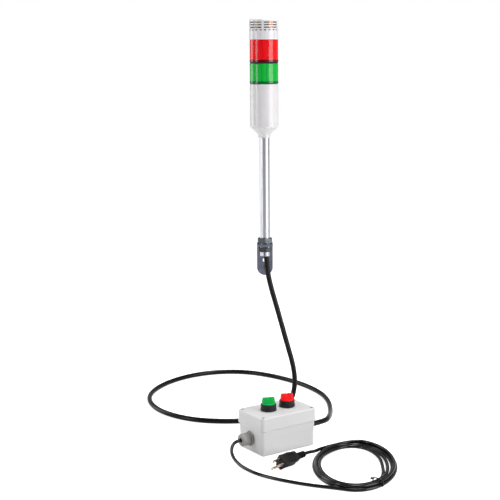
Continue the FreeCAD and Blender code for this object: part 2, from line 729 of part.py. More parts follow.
def make_box_lid():
    """Deep lid with a stepped skirt, four sunk screws and two switch holes."""
    skirt = prism(box_outline(0, BOX_SEAM_Z), LID_STEP_Z - BOX_SEAM_Z)
    upper = prism(box_outline(LID_STEP, LID_STEP_Z), BOX_HEIGHT - LID_STEP_Z)
    upper = upper.makeFillet(LID_EDGE_R, edges_at(upper, BOX_HEIGHT))
    shell = skirt.fuse(upper)
    under = BOX_HEIGHT - LID_THICK
    shell = shell.cut(prism(box_outline(BASE_INSET + BOX_WALL, BOX_SEAM_Z), under - BOX_SEAM_Z))
    shoulder = BOX_SEAM_Z + LID_SHOULDER
    shell = shell.cut(prism(box_outline(LID_STEP + BOX_WALL, shoulder), under - shoulder))
    posts = [Part.makeCylinder(POST_R, under - BOX_SEAM_Z, Vector(x, y, BOX_SEAM_Z)) for x, y in post_places()]
    within = prism(box_outline(BASE_INSET, BOX_SEAM_Z), under - BOX_SEAM_Z)
    shell = shell.fuse(within.common(posts[0].fuse(posts[1:])))
    for x, y in post_places():
        shell = shell.cut(Part.makeCylinder(SCREW_HOLE_R, BOX_HEIGHT, Vector(x, y, 0)))
        sunk = SCREW_HEAD_H + SCREW_SUNK
        shell = shell.cut(Part.makeCylinder(SCREW_HEAD_R + 0.4, sunk, Vector(x, y, BOX_HEIGHT - sunk)))
    for _, side in COLOURS:
        shell = shell.cut(Part.makeCylinder(PANEL_HOLE_R, BOX_HEIGHT, Vector(switch_x(side), 0, 0)))
    return placed_box(shell.cut(seal_ring(BOX_SEAM_Z, SEAL_W, SEAL_T)).removeSplitter())


def make_lid_screws():
    screws = []
    head_z = BOX_HEIGHT - SCREW_SUNK - SCREW_HEAD_H
    for x, y in post_places():
        head = Part.makeCylinder(SCREW_HEAD_R, SCREW_HEAD_H, Vector(x, y, head_z))
        shank = Part.makeCylinder(SCREW_R, SCREW_LENGTH, Vector(x, y, head_z - SCREW_LENGTH))
        screws.append(placed_box(head.fuse(shank)))
    return group(screws)


def make_terminal_strip():
    length, width, height = TERMINAL_SIZE
    strip = Part.makeBox(length, width, height, Vector(-length / 2, -width / 2, BOX_WALL))
    pitch = length / TERMINAL_POLES
    for i in range(TERMINAL_POLES):
        x = -length / 2 + pitch * (i + 0.5)
        hole = Part.makeCylinder(TERMINAL_HOLE_R, width, Vector(x, -width / 2, BOX_WALL + height / 2),
                                 Vector(0, 1, 0))
        strip = strip.cut(hole)
    return placed_box(strip)


# ---------------------------------------------------------------- switches
def switch_x(side):
    return SWITCH_SHIFT + side * SWITCH_SPACING / 2


def switch_at(shape, side):
    shape.translate(Vector(switch_x(side), 0, BOX_HEIGHT))
    return placed_box(shape)


def make_gasket(side):
    return switch_at(ring(GASKET_R, PANEL_HOLE_R, GASKET_T), side)


def make_operator(side):
    """Threaded barrel with the flange that clamps on the lid."""
    top = GASKET_T + FLANGE_T
    foot = GASKET_T - BARREL_LENGTH
    bore = STEM_R + STEM_FIT
    body = turned([(bore, foot), (BARREL_R, foot), (BARREL_R, GASKET_T), (FLANGE_R, GASKET_T),
                   (FLANGE_R, top), (bore, top)])
    return switch_at(body, side)


def make_bezel(side):
    """Stepped black ring round the knob."""
    z = GASKET_T
    top = z + BEZEL_H
    seat = z + FLANGE_T
    foot = z + BEZEL_FOOT_H
    g = BEZEL_GROOVE
    inner = KNOB_R + KNOB_GAP
    body = turned([
        (FLANGE_R + BEZEL_FIT, z), (BEZEL_FOOT_R, z), (BEZEL_FOOT_R, foot), (BEZEL_R - g, foot + g),
        (BEZEL_R - g, foot + 2 * g), (BEZEL_R, foot + 3 * g), (BEZEL_R, top - g), (BEZEL_R - g, top),
        (inner, top), (inner, seat), (FLANGE_R + BEZEL_FIT, seat)])
    return switch_at(body, side)


def make_knob(side):
    """Round base with a raised bar, notched in the middle, and a stem below."""
    seat = GASKET_T + FLANGE_T + KNOB_GAP
    disc_top = GASKET_T + BEZEL_H + KNOB_DISC_H
    disc = Part.makeCylinder(KNOB_R, disc_top - seat, Vector(0, 0, seat))
    disc = disc.makeChamfer(EDGE_SOFT, edges_at(disc, disc_top))
    high = disc_top + KNOB_BAR_H
    low = disc_top - EDGE_SOFT
    bar = frustum(KNOB_BAR, KNOB_BAR_TOP, low, high - low, KNOB_BAR_R)
    bar = bar.makeChamfer(EDGE_SOFT, edges_at(bar, high))
    w = KNOB_NOTCH_W / 2
    reach = KNOB_BAR[1]
    notch = Part.Face(Part.makePolygon([
        Vector(-w, -reach, high + 0.01), Vector(w, -reach, high + 0.01),
        Vector(0, -reach, high - KNOB_NOTCH_H), Vector(-w, -reach, high + 0.01)]))
    bar = bar.cut(notch.extrude(Vector(0, 2 * reach, 0)))
    bar.rotate(Vector(0, 0, 0), UP, KNOB_REST)
    foot = GASKET_T - BARREL_LENGTH + STEM_SHORT
    stem = Part.makeCylinder(STEM_R, seat - foot, Vector(0, 0, foot))
    return switch_at(disc.fuse([bar, stem]).removeSplitter(), side)


def make_locknut(side):
    z = -LID_THICK - LOCKNUT_H
    nut = chamfered_hex(LOCKNUT_AF, LOCKNUT_H, 0.8, z)
    nut = nut.cut(Part.makeCylinder(BARREL_R + SCREW_FIT, LOCKNUT_H, Vector(0, 0, z)))
    return switch_at(nut, side)


def make_contact_block(side):
    length, width, height = CONTACT_SIZE
    top = GASKET_T - BARREL_LENGTH
    block = Part.makeBox(length, width, height, Vector(-length / 2, -width / 2, top - height))
    for x in (-length / 3, length / 3):
        for y in (-width / 2, width / 2):
            block = block.cut(Part.makeCylinder(CONTACT_SCREW_R, height / 2, Vector(x, y, top - height / 2)))
    return switch_at(block, side)


# ---------------------------------------------------------------- cable glands
def gland_at(shape, side):
    """Gland pieces are turned about Z, then laid on an end wall (side -1 or 1)."""
    shape.rotate(Vector(0, 0, 0), Vector(0, 1, 0), 90 * side)
    shape.translate(Vector(side * (end_wall_x() + GLAND_PAD_H), 0, GLAND_Z))
    return placed_box(shape)


def make_gland_body(side, cord_r):
    """Hex flange outside the wall and a thread through it."""
    inside = BOX_WALL + 2 * GLAND_PAD_H + LOCKNUT_H + 2
    bore = cord_r + GLAND_MOUTH + GLAND_FIT
    hexed = chamfered_hex(GLAND_AF, GLAND_HEX_H, GLAND_HEX_CHAMFER, 0, GLAND_TURN)
    thread = Part.makeCylinder(GLAND_THREAD_R, inside, Vector(0, 0, -inside))
    neck = Part.makeCylinder(GLAND_THREAD_R - 1, GLAND_HEX_H * 0.8, Vector(0, 0, GLAND_HEX_H))
    body = hexed.fuse([thread, neck])
    return gland_at(body.cut(Part.makeCylinder(bore, 60, Vector(0, 0, -30))), side)


def make_gland_nut(side, cord_r, reach):
    """Clamping nut: a hexagon, then a round end with a soft edge."""
    z = GLAND_HEX_H + GLAND_SKIRT_GAP
    hex_h = reach - GLAND_RING_H - z
    hexed = chamfered_hex(GLAND_NUT_AF, hex_h, GLAND_HEX_CHAMFER, z, GLAND_TURN)
    end = Part.makeCylinder(GLAND_RING_R, GLAND_RING_H, Vector(0, 0, z + hex_h))
    end = end.makeFillet(GLAND_RING_FILLET, edges_at(end, reach))
    nut = hexed.fuse(end)
    nut = nut.cut(Part.makeCylinder(cord_r + GLAND_MOUTH + GLAND_FIT, reach))
    nut = nut.cut(Part.makeCylinder(GLAND_THREAD_R - 1 + GLAND_FIT, GLAND_HEX_H * 0.8, Vector(0, 0, z - 0.4)))
    return gland_at(nut, side)


def make_gland_seal(side, cord_r, reach):
    """Soft sleeve that the cord's end meets at the mouth."""
    sleeve = ring(cord_r + GLAND_MOUTH, cord_r * 0.6, reach - GLAND_HEX_H, GLAND_HEX_H)
    return gland_at(sleeve, side)


def make_gland_locknut(side):
    z = -BOX_WALL - 2 * GLAND_PAD_H - LOCKNUT_H
    nut = chamfered_hex(GLAND_AF, LOCKNUT_H, 0.8, z, GLAND_TURN)
    return gland_at(nut.cut(Part.makeCylinder(GLAND_THREAD_R + SCREW_FIT, LOCKNUT_H, Vector(0, 0, z))), side)


def gland_mouth(side, reach):
    """Where the cord leaves a gland, and its heading."""
    mouth = box_point(side * (end_wall_x() + GLAND_PAD_H + reach), 0, GLAND_Z)
    heading = mouth - box_point(0, 0, GLAND_Z)
    heading.normalize()
    return mouth, heading


# ---------------------------------------------------------------- mains coil and tie
def coil_oval(oval, grow, z):
    """Closed oval of four tangent arcs, long along Y before its small turn."""
    x, y, half_x, half_y = oval
    end_r = half_x * COIL_END_SHARE + grow
    short = half_x + grow
    long = half_y + grow
    offset = long - end_r
    side_r = (short ** 2 + offset ** 2 - end_r ** 2) / (2 * (short - end_r))
    angle = math.atan2(offset, side_r - short)
    join_x = side_r * math.cos(angle) - (side_r - short)
    join_y = side_r * math.sin(angle)
    edges = []
    for sign in (1, -1):
        edges.append(Part.Arc(Vector(sign * join_x, -join_y * sign, z), Vector(sign * short, 0, z),
                              Vector(sign * join_x, join_y * sign, z)).toShape())
        edges.append(Part.Arc(Vector(sign * join_x, join_y * sign, z), Vector(0, sign * long, z),
                              Vector(-sign * join_x, join_y * sign, z)).toShape())
    wire = Part.Wire(edges)
    wire.rotate(Vector(0, 0, 0), UP, COIL_TURN)
    wire.translate(Vector(x, y, 0))
    return wire


def coil_solid(grow, z, height):
    outer = prism(coil_oval(COIL_OUTER, grow, z), height)
    return outer.cut(prism(coil_oval(COIL_INNER, -grow, z), height))


def tie_place():
    """Point on the coil's outer edge where the tie sits, and the outward heading."""
    x, y, half_x, half_y = COIL_OUTER
    angle = math.radians(TIE_DEG)
    rim = Vector(x + half_x * math.cos(angle), y + half_y * math.sin(angle), FLOOR_Z)
    outward = Vector(half_y * math.cos(angle), half_x * math.sin(angle), 0)
    outward.normalize()
    return rim, outward


def tie_slab():
    """Thin upright slab across the bundle, where the tie sits."""
    rim, outward = tie_place()
    slab = Part.makeBox(2 * TIE_REACH, TIE_WIDTH, 2 * TIE_REACH, Vector(-TIE_REACH, -TIE_WIDTH / 2, -TIE_REACH))
    slab.rotate(Vector(0, 0, 0), UP, math.degrees(math.atan2(outward.y, outward.x)))
    slab.translate(rim)
    return slab


def make_cord_coil():
    coil = coil_solid(0, FLOOR_Z, COIL_HEIGHT)
    coil = coil.makeChamfer(COIL_EDGE, edges_at(coil, FLOOR_Z + COIL_HEIGHT))
    groove = coil_solid(TIE_THICK, FLOOR_Z, TIE_THICK).common(tie_slab())
    return coil.cut(groove)


def make_coil_tie():
    """Strap round the bundle, with its twisted tail towards the coil's middle."""
    wrap = coil_solid(TIE_THICK, FLOOR_Z, COIL_HEIGHT + TIE_THICK)
    wrap = wrap.makeChamfer(COIL_EDGE, edges_at(wrap, FLOOR_Z + COIL_HEIGHT + TIE_THICK)).common(tie_slab())
    rim, outward = tie_place()
    tail = Part.makeCylinder(TIE_TAIL_R, TIE_REACH, rim + Vector(0, 0, COIL_HEIGHT / 2), outward * -1)
    hank = coil_solid(0, FLOOR_Z + TIE_THICK, COIL_HEIGHT - TIE_THICK)
    hank = hank.makeChamfer(COIL_EDGE, edges_at(hank, FLOOR_Z + COIL_HEIGHT))
    return wrap.fuse(tail).cut(hank)


# ---------------------------------------------------------------- plug
def plug_section(x, shares):
    """Flat-topped section that narrows towards the earth pin."""
    w = PLUG_HALF_WIDTH * shares[0]
    top = PLUG_TOP * shares[1]
    low = PLUG_BOTTOM * shares[2]
    side = [(w * 0.86, top), (w, top * 0.72), (w, low * 0.25), (w * 0.78, low * 0.8), (w * 0.45, low)]
    ring_points = side + [(-y, z) for y, z in reversed(side)]
    corners = [Vector(x, y, z) for y, z in ring_points]
    return Part.makePolygon(corners + corners[:1])


def placed_plug(shape):
    shape.rotate(Vector(0, 0, 0), Vector(1, 0, 0), PLUG_ROLL)
    shape.rotate(Vector(0, 0, 0), UP, PLUG_TURN)
    shape.translate(Vector(PLUG_AT[0], PLUG_AT[1], FLOOR_Z + plug_height()))
    return shape


def plug_height():
    """Height of the plug's middle line, with its lowest edge on the floor."""
    body = plug_section(0, (1.0, 1.0, 1.0))
    body.rotate(Vector(0, 0, 0), Vector(1, 0, 0), PLUG_ROLL)
    return -body.BoundBox.ZMin


def make_plug_body():
    """Moulded grip with a ribbed strain relief, one piece."""
    grip = Part.makeLoft([plug_section(0, (1.0, 1.0, 1.0)), plug_section(-PLUG_LENGTH * 0.55, (0.98, 0.98, 0.86)),
                          plug_section(-PLUG_LENGTH, PLUG_REAR)], True, True)
    length, width, proud = PLUG_PAD
    pad = Part.makeBox(length, width, proud + 1, Vector(-PLUG_LENGTH * 0.55, -width / 2, PLUG_TOP - 1))
    relief = [(0, PLUG_LENGTH - 1), (RELIEF_R, PLUG_LENGTH - 1)]
    pitch = RELIEF_LENGTH / (RELIEF_RIBS + 0.5)
    for i in range(RELIEF_RIBS):
        r = RELIEF_R + (RELIEF_TIP_R - RELIEF_R) * i / RELIEF_RIBS
        z = PLUG_LENGTH + pitch * i
        relief += [(r, z + pitch * 0.5), (r - RELIEF_GROOVE, z + pitch * 0.6), (r - RELIEF_GROOVE, z + pitch * 0.9),
                   (r - 0.2, z + pitch)]
    end = PLUG_LENGTH + RELIEF_LENGTH
    relief += [(RELIEF_TIP_R, end), (0, end)]
    tail = turned(relief)
    tail.rotate(Vector(0, 0, 0), Vector(0, 1, 0), -90)
    return placed_plug(grip.fuse([pad, tail]))


def make_plug_blades():
    length, thick, height = BLADE_SIZE
    blades = []
    for side in (-1, 1):
        y = side * BLADE_SPACING / 2
        blade = Part.makeBox(length, thick, height, Vector(0, y - thick / 2, BLADE_Z - height / 2))
        tip = [e for e in blade.Edges if abs(e.BoundBox.XMin - length) < 1e-4]
        blade = blade.makeChamfer(0.5, tip)
        hole = Part.makeCylinder(BLADE_HOLE_R, thick * 3, Vector(length * 0.72, y - thick * 1.5, BLADE_Z),
                                 Vector(0, 1, 0))
        blades.append(placed_plug(blade.cut(hole)))
    return group(blades)


def make_earth_pin():
    z = BLADE_Z - EARTH_DROP
    pin = Part.makeCylinder(EARTH_R, EARTH_LENGTH, Vector(0, 0, z), Vector(1, 0, 0))
    tip = [e for e in pin.Edges if abs(e.BoundBox.XMin - EARTH_LENGTH) < 1e-4]
    return placed_plug(pin.makeFillet(EARTH_R * 0.8, tip))


def relief_end(extra):
    """Point on the plug's middle line behind its strain relief."""
    angle = math.radians(PLUG_TURN)
    reach = PLUG_LENGTH + RELIEF_LENGTH + extra
    return (PLUG_AT[0] - reach * math.cos(angle), PLUG_AT[1] - reach * math.sin(angle),
            FLOOR_Z + plug_height())


# ---------------------------------------------------------------- cords
def make_lamp_lead():
    mouth, heading = gland_mouth(1, LEAD_REACH)
    before = mouth + heading * LEAD_LAST_RUN
    return cord(LEAD_POINTS + [tuple(before), tuple(mouth)], LEAD_R, "lamp_lead")


def make_mains_cord():
    mouth, heading = gland_mouth(-1, MAINS_REACH)
    after = mouth + heading * FIRST_RUN
    return cord([tuple(mouth), tuple(after)] + MAINS_POINTS, MAINS_R, "mains_cord")


def make_plug_lead():
    return cord(PLUG_LEAD_POINTS + [relief_end(PLUG_RUN), relief_end(0)], MAINS_R, "plug_lead")


# ---------------------------------------------------------------- build
def build_tower():
    export(make_l_bracket(), "l_bracket")
    export(make_bracket_screw(), "bracket_screw")
    export(make_pole(), "pole")
    export(make_pole_nuts(), "pole_nuts")
    export(make_toothed_washers(), "toothed_washers")
    export(make_inner_lead(), "inner_lead")
    export(make_tower_base(), "tower_base")
    export(make_pole_lock_nut(), "pole_lock_nut")
    export(make_tower_body(), "tower_body")
    export(make_control_board(), "control_board")
    export(make_seal(BODY_TOP_Z, THIN_SEAL_T, BODY_R), "lower_seal")
    export(make_seal(MIDDLE_SEAL_Z, THICK_SEAL_T, BODY_R), "middle_seal")
    export(make_seal(UPPER_SEAL_Z, THIN_SEAL_T, BODY_R), "upper_seal")
    for colour, z, height in (("green", GREEN_Z, GREEN_LENS_H), ("red", RED_Z, RED_LENS_H)):
        export(make_lens(z, height), colour + "_lens")
        export(make_lamp_core(z), colour + "_lamp_core")
        export(make_leds(z), colour + "_leds")
    export(make_sound_cap(), "sound_cap")
    export(make_sounder_board(), "sounder_board")
    export(make_sounder(), "sounder")
    export(make_sounder_coil(), "sounder_coil")


def build_box():
    export(make_box_base(), "box_base")
    export(make_box_lid(), "box_lid")
    export(placed_box(seal_ring(BOX_SEAM_Z, SEAL_W, SEAL_T)), "lid_seal")
    export(make_lid_screws(), "lid_screws")
    export(make_terminal_strip(), "terminal_strip")
    for colour, side in COLOURS:
        export(make_gasket(side), colour + "_gasket")
        export(make_operator(side), colour + "_operator")
        export(make_bezel(side), colour + "_bezel")
        export(make_knob(side), colour + "_knob")
        export(make_locknut(side), colour + "_locknut")
        export(make_contact_block(side), colour + "_contact_block")
    for name, side, radius, reach in (("mains", -1, MAINS_R, MAINS_REACH), ("lead", 1, LEAD_R, LEAD_REACH)):
        export(make_gland_body(side, radius), name + "_gland_body")
        export(make_gland_nut(side, radius, reach), name + "_gland_nut")
        export(make_gland_seal(side, radius, reach), name + "_gland_seal")
        export(make_gland_locknut(side), name + "_gland_locknut")


def build_cords():
    export(make_lamp_lead(), "lamp_lead")
    export(make_mains_cord(), "mains_cord")
    export(make_cord_coil(), "cord_coil")
    export(make_coil_tie(), "coil_tie")
    export(make_plug_lead(), "plug_lead")
    export(make_plug_body(), "plug_body")
    export(make_plug_blades(), "plug_blades")
    export(make_earth_pin(), "earth_pin")


build_tower()
build_box()
build_cords()
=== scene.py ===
# %% [markdown]
# # A stack light with its control box
# A stack light tells people across a workshop what a machine is doing. Coloured lenses
# glow on top of a pole, a sounder under the cap calls for attention, and a hand box with
# two turn knobs switches them. The rigid pieces come from the CAD model. This script
# dresses them: it gives each its finish, and makes the cords and the moulded pieces
# whose soft edges and fine detail the plain solids lack.

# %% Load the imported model
import math

import bmesh
import bpy
from mathutils import Matrix, Vector


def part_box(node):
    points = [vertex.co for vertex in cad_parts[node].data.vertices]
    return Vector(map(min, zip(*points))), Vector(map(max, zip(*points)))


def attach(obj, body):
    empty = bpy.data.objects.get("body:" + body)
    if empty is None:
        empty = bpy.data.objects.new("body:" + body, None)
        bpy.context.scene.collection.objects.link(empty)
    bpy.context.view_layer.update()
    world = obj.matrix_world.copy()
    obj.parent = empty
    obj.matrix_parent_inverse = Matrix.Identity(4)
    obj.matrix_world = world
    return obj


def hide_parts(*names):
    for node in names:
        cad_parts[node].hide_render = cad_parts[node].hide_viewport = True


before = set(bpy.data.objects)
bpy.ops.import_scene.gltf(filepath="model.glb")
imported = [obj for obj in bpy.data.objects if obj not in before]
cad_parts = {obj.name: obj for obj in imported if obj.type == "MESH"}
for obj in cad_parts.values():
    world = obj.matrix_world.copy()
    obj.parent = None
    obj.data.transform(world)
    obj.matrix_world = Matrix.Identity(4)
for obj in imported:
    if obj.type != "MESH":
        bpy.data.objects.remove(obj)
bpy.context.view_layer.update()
MM = 0.001
scene = bpy.context.scene
scene.view_settings.view_transform = "Standard"

# %% [markdown]
# The camera stands about 2.4 metres away with a long lens, so the tall tower keeps
# its upright sides. It looks down by ten degrees, which shows the top of the box and the
# loop of cord on the floor. Its matrix is built from three directions: right, up and back.

# %% Camera
CAMERA_AT = Vector((-30.2, -2409.4, 442.0)) * MM
LOOK_DOWN = math.atan2(210.0, 1200.0)
LEAN = math.radians(-0.43)
SENSOR_MM, LENS_MM = 36.0, 86.4

look = Vector((0.0, math.cos(LOOK_DOWN), -math.sin(LOOK_DOWN)))
level_up = Vector((0.0, math.sin(LOOK_DOWN), math.cos(LOOK_DOWN)))
level_right = Vector((1.0, 0.0, 0.0))
right = level_right * math.cos(LEAN) + level_up * math.sin(LEAN)
up = level_up * math.cos(LEAN) - level_right * math.sin(LEAN)

camera_data = bpy.data.cameras.new("camera")
camera_data.sensor_width = SENSOR_MM
camera_data.lens = LENS_MM
camera = bpy.data.objects.new("camera", camera_data)
scene.collection.objects.link(camera)
axes = Matrix((right, up, -look)).transposed()
camera.matrix_world = Matrix.Translation(CAMERA_AT) @ axes.to_4x4()
scene.camera = camera
print("camera looks down by", round(math.degrees(LOOK_DOWN), 2), "degrees")

# %% [markdown]
# A finish is a material built from nodes. Small helpers keep that short: one turns a
# hex colour into the linear values that the shader works in, and one adds any node with
# its settings and its inputs, where an input is either a value or another node's output.
# Nearly every surface here also has a fine grain, so one helper makes such a finish whole.

# %% Helpers for finishes
def linear(hex_colour):
    """'#rrggbb' as linear red, green, blue and alpha."""
    channels = [int(hex_colour[i:i + 2], 16) / 255.0 for i in (1, 3, 5)]
    return [c / 12.92 if c <= 0.04045 else ((c + 0.055) / 1.055) ** 2.4 for c in channels] + [1.0]


def add_node(material, kind, inputs=(), **settings):
    """A node of that kind, with its settings, and its inputs set or linked."""
    node = material.node_tree.nodes.new(kind)
    for name, value in settings.items():
        setattr(node, name, value)
    for name, value in dict(inputs).items():
        if isinstance(value, bpy.types.NodeSocket):
            material.node_tree.links.new(value, node.inputs[name])
        else:
            node.inputs[name].default_value = value
    return node


def new_finish(name, inputs):
    """A material with one Principled shader, whose inputs are given."""
    material = bpy.data.materials.new(name)
    material.use_nodes = True
    material.node_tree.nodes.clear()
    shader = add_node(material, "ShaderNodeBsdfPrincipled", inputs)
    add_node(material, "ShaderNodeOutputMaterial", {"Surface": shader.outputs[0]})
    return material, shader


def dress(material, *nodes):
    """Gives CAD nodes this material in every slot."""
    for name in nodes:
        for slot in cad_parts[name].material_slots:
            slot.material = material


def grain_bump(material, shader, grain_mm, depth_mm):
    """Fine even grain, as a mould's surface leaves it."""
    place = add_node(material, "ShaderNodeTexCoord")
    noise = add_node(material, "ShaderNodeTexNoise",
                     {"Vector": place.outputs["Object"], "Scale": 1.0 / (grain_mm * MM), "Detail": 2.0})
    bump = add_node(material, "ShaderNodeBump",
                    {"Height": noise.outputs["Fac"], "Distance": depth_mm * MM, "Strength": 1.0})
    material.node_tree.links.new(bump.outputs["Normal"], shader.inputs["Normal"])
    return noise


def grained(name, colour, grain_mm, depth_mm, nodes=(), **sockets):
    """A finish of one colour with a fine grain, given to CAD nodes.

    Sockets are named with _ for a space.
    """
    inputs = {"Base Color": linear(colour)}
    inputs.update({socket.replace("_", " "): value for socket, value in sockets.items()})
    material, shader = new_finish(name, inputs)
    grain_bump(material, shader, grain_mm, depth_mm)
    dress(material, *nodes)
    return material


# %% [markdown]
# ## The lamp lead
# The lead is a thick round cable with a rubber jacket. It leaves the open end of the
# pole, hangs under its own weight, turns out of sight behind the box, and lies on the
# floor in one wide loop before it comes back to the gland on the far end of the box.
# A quadratic NURBS curve suits a cable: it passes smoothly inside its control points, and
# has no kinks. The points are the ones that the CAD tube was routed by.

# %% Route of the lamp lead
LEAD_DIAMETER = 10.4 * MM
LEAD_ROUTE = [
    (2.4, -24.0, 13.0), (4.0, -24.0, -14.0), (10.5, -24.2, -48.0), (23.0, -24.8, -92.0),
    (43.0, -26.0, -166.0), (57.8, -27.5, -219.0), (60.8, -28.8, -259.0), (49.5, -30.8, -299.0),
    (14.0, -33.0, -325.5), (-33.0, -36.0, -329.8), (-86.0, -40.5, -329.8),
    (-142.0, -31.0, -329.8), (-190.0, -2.0, -329.8), (-227.0, 40.0, -329.8),
    (-249.0, 92.0, -329.8), (-255.5, 147.0, -329.8), (-243.0, 205.0, -329.8),
    (-213.0, 262.0, -329.8), (-164.0, 311.0, -329.8), (-104.0, 336.0, -329.8),
    (-42.0, 333.0, -329.8), (14.0, 302.0, -329.8), (62.0, 258.0, -329.8),
    (101.0, 206.0, -329.8), (128.0, 148.0, -329.8), (138.0, 90.0, -329.6),
    (137.5, 34.0, -328.0), (133.5, -21.0, -321.0), (126.5, -73.0, -312.0),
    (118.19, -108.09, -308.0), (86.84, -129.56, -308.0)]


def cable(name, route_mm, diameter, body):
    """A round cable along a smooth route, as a bevelled NURBS curve.

    The radius is given at the points, because Blender adds it to the curve's box.
    """
    curve = bpy.data.curves.new(name, "CURVE")
    curve.dimensions = "3D"
    curve.resolution_u = 10
    curve.bevel_depth = 1.0
    curve.bevel_resolution = 5
    spline = curve.splines.new("NURBS")
    spline.points.add(len(route_mm) - 1)
    for point, place in zip(spline.points, route_mm):
        point.co = (*(Vector(place) * MM), 1.0)
        point.radius = diameter / 2.0
    spline.order_u = 3
    spline.use_endpoint_u = True
    spline.use_smooth = True
    piece = bpy.data.objects.new(name, curve)
    scene.collection.objects.link(piece)
    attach(piece, body)
    return piece


lamp_lead = cable("lamp_cable", LEAD_ROUTE, LEAD_DIAMETER, "frame")
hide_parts("lamp_lead")
print("lamp lead:", len(LEAD_ROUTE), "control points")

# %% [markdown]
# ## The mains cord
# The mains cord is thinner and more limp. It drops out of the near gland, runs along the
# floor into a coil of a few loose turns, and comes out of the coil at its far side to the
# plug. Each turn is an oval given by how far it lies in from the coil's outer edge and
# how high it lies, at eight places round the oval. So the turns fan out where nothing
# holds them, and crowd together and climb on each other where they cross and at the tie.

# %% Route of the mains cord
CORD_DIAMETER = 6.4 * MM
FLOOR_MM = -335.0
COIL_CENTRE = Vector((159.4, -299.5))
COIL_HALF = Vector((75.2, 124.6))      # to the middle of the outermost strand
COIL_TURN = math.radians(-5.0)
STATIONS = 16                          # control points for each turn
START, END = -112.0, 108.0             # degrees where the cord joins and leaves the coil

# Inward distance and height above the floor in mm, at each eighth of a turn from the near side.
TURNS = [
    [(0.0, 3.2), (0.3, 3.2), (-1.2, 3.2), (-0.8, 3.2), (0.0, 3.2), (-0.6, 3.2), (-0.6, 3.2), (2.3, 3.2)],
    [(6.4, 3.2), (6.8, 3.2), (5.6, 3.2), (6.0, 3.2), (6.4, 3.2), (6.4, 3.2), (7.2, 3.2), (9.4, 3.2)],
    [(12.8, 3.2), (13.8, 3.2), (24.2, 3.2), (22.6, 3.2), (18.5, 3.2), (14.2, 3.4), (10.0, 8.8), (8.8, 8.9)],
    [(9.6, 8.8), (10.2, 8.6), (14.6, 3.4), (13.6, 3.2), (13.0, 3.6), (8.6, 9.0), (3.4, 8.9), (3.0, 8.8)],
    [(3.0, 8.8), (3.4, 8.8), (1.6, 8.8), (2.4, 8.8), (1.5, 8.8), (0.0, 8.4), (0.0, 8.4), (0.0, 8.4)]]


def coil_point(turn, degrees):
    """A point of the coil, blended between the stations of its turn and the next."""
    place = (degrees + 90.0) / 45.0 + 8.0 * turn
    low = math.floor(place)
    row = [pair for turn_row in TURNS for pair in turn_row]
    near, far = row[max(low, 0)], row[min(low + 1, len(row) - 1)]
    share = place - low
    inward = near[0] + (far[0] - near[0]) * share
    height = near[1] + (far[1] - near[1]) * share
    angle = math.radians(degrees)
    swell = 1.0 / math.cos(math.pi / STATIONS) ** 0.5      # the spline passes inside its points
    x = (COIL_HALF.x - inward) * swell * math.cos(angle)
    y = (COIL_HALF.y - inward) * swell * math.sin(angle)
    spot = COIL_CENTRE + Matrix.Rotation(COIL_TURN, 2) @ Vector((x, y))
    return (spot.x, spot.y, FLOOR_MM + height)


coil_route = []
step = 360.0 / STATIONS
whole = 360.0 * (len(TURNS) - 1) + END - START
for i in range(int(whole / step) + 1):
    turned = START + 90.0 + step * i
    coil_route.append(coil_point(int(turned // 360.0), turned % 360.0 - 90.0))

CORD_OUT = [
    (-50.53, -223.62, -308.0), (-58.78, -229.27, -308.0),
    (-65.5, -238.5, -311.0), (-68.5, -252.5, -318.0), (-65.0, -268.0, -325.5),
    (-56.0, -286.5, -330.4), (-43.5, -309.0, -331.8), (-19.0, -342.0, -331.8),
    (19.0, -369.5, -331.8), (67.0, -394.5, -332.0)]
CORD_TO_PLUG = [
    (108.0, -206.0, -329.5), (88.0, -233.0, -328.0), (78.76, -254.74, -320.5),
    (67.05, -267.08, -320.5)]
mains_cord = cable("mains_cable", CORD_OUT + coil_route + CORD_TO_PLUG, CORD_DIAMETER, "frame")
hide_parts("mains_cord", "cord_coil", "plug_lead")
print("mains cord:", len(coil_route), "control points in the coil")


def measured(piece):
    """Length of a cable's middle line, in metres."""
    plain = piece.data.copy()
    plain.bevel_depth = 0.0
    holder = bpy.data.objects.new("measure", plain)
    scene.collection.objects.link(holder)
    graph = bpy.context.evaluated_depsgraph_get()
    line = bpy.data.meshes.new_from_object(holder.evaluated_get(graph))
    points = [v.co for v in line.vertices]
    bpy.data.objects.remove(holder)
    bpy.data.curves.remove(plain)
    bpy.data.meshes.remove(line)
    return sum((b - a).length for a, b in zip(points, points[1:]))


bpy.context.view_layer.update()
print("lengths:", round(measured(lamp_lead), 3), round(measured(mains_cord), 3))

# %% [markdown]
# ## Pieces made with mesh tools
# Moulded pieces have soft edges that catch the light, and a plain solid lacks them. Each is
# built as a bmesh, which is Blender's editable mesh: start from a simple shape, then cut,
# taper and bevel it. One helper turns the bmesh into an object with its place in its mesh,
# so that the object itself stays at the origin.

# %% Helpers for pieces
def tidy(build):
    """Merges doubles and turns all faces outwards."""
    bmesh.ops.remove_doubles(build, verts=build.verts, dist=1e-6)
    bmesh.ops.recalc_face_normals(build, faces=build.faces)


def add_piece(name, build, material, body, *stands_for, slot=None, sharp=35.0):
    """Makes the bmesh an object that rides on a body and may stand for CAD nodes."""
    mesh = bpy.data.meshes.new(name)
    build.to_mesh(mesh)
    build.free()
    mesh.shade_smooth()
    mesh.set_sharp_from_angle(angle=math.radians(sharp))
    mesh.materials.append(material)
    piece = bpy.data.objects.new(name, mesh)
    scene.collection.objects.link(piece)
    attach(piece, body)
    if stands_for:
        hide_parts(*stands_for)
    print(name, "has", len(mesh.polygons), "faces")
    return piece


def box_of(node):
    """Lowest and highest corner of a CAD node."""
    return [Vector(corner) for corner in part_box(node)]


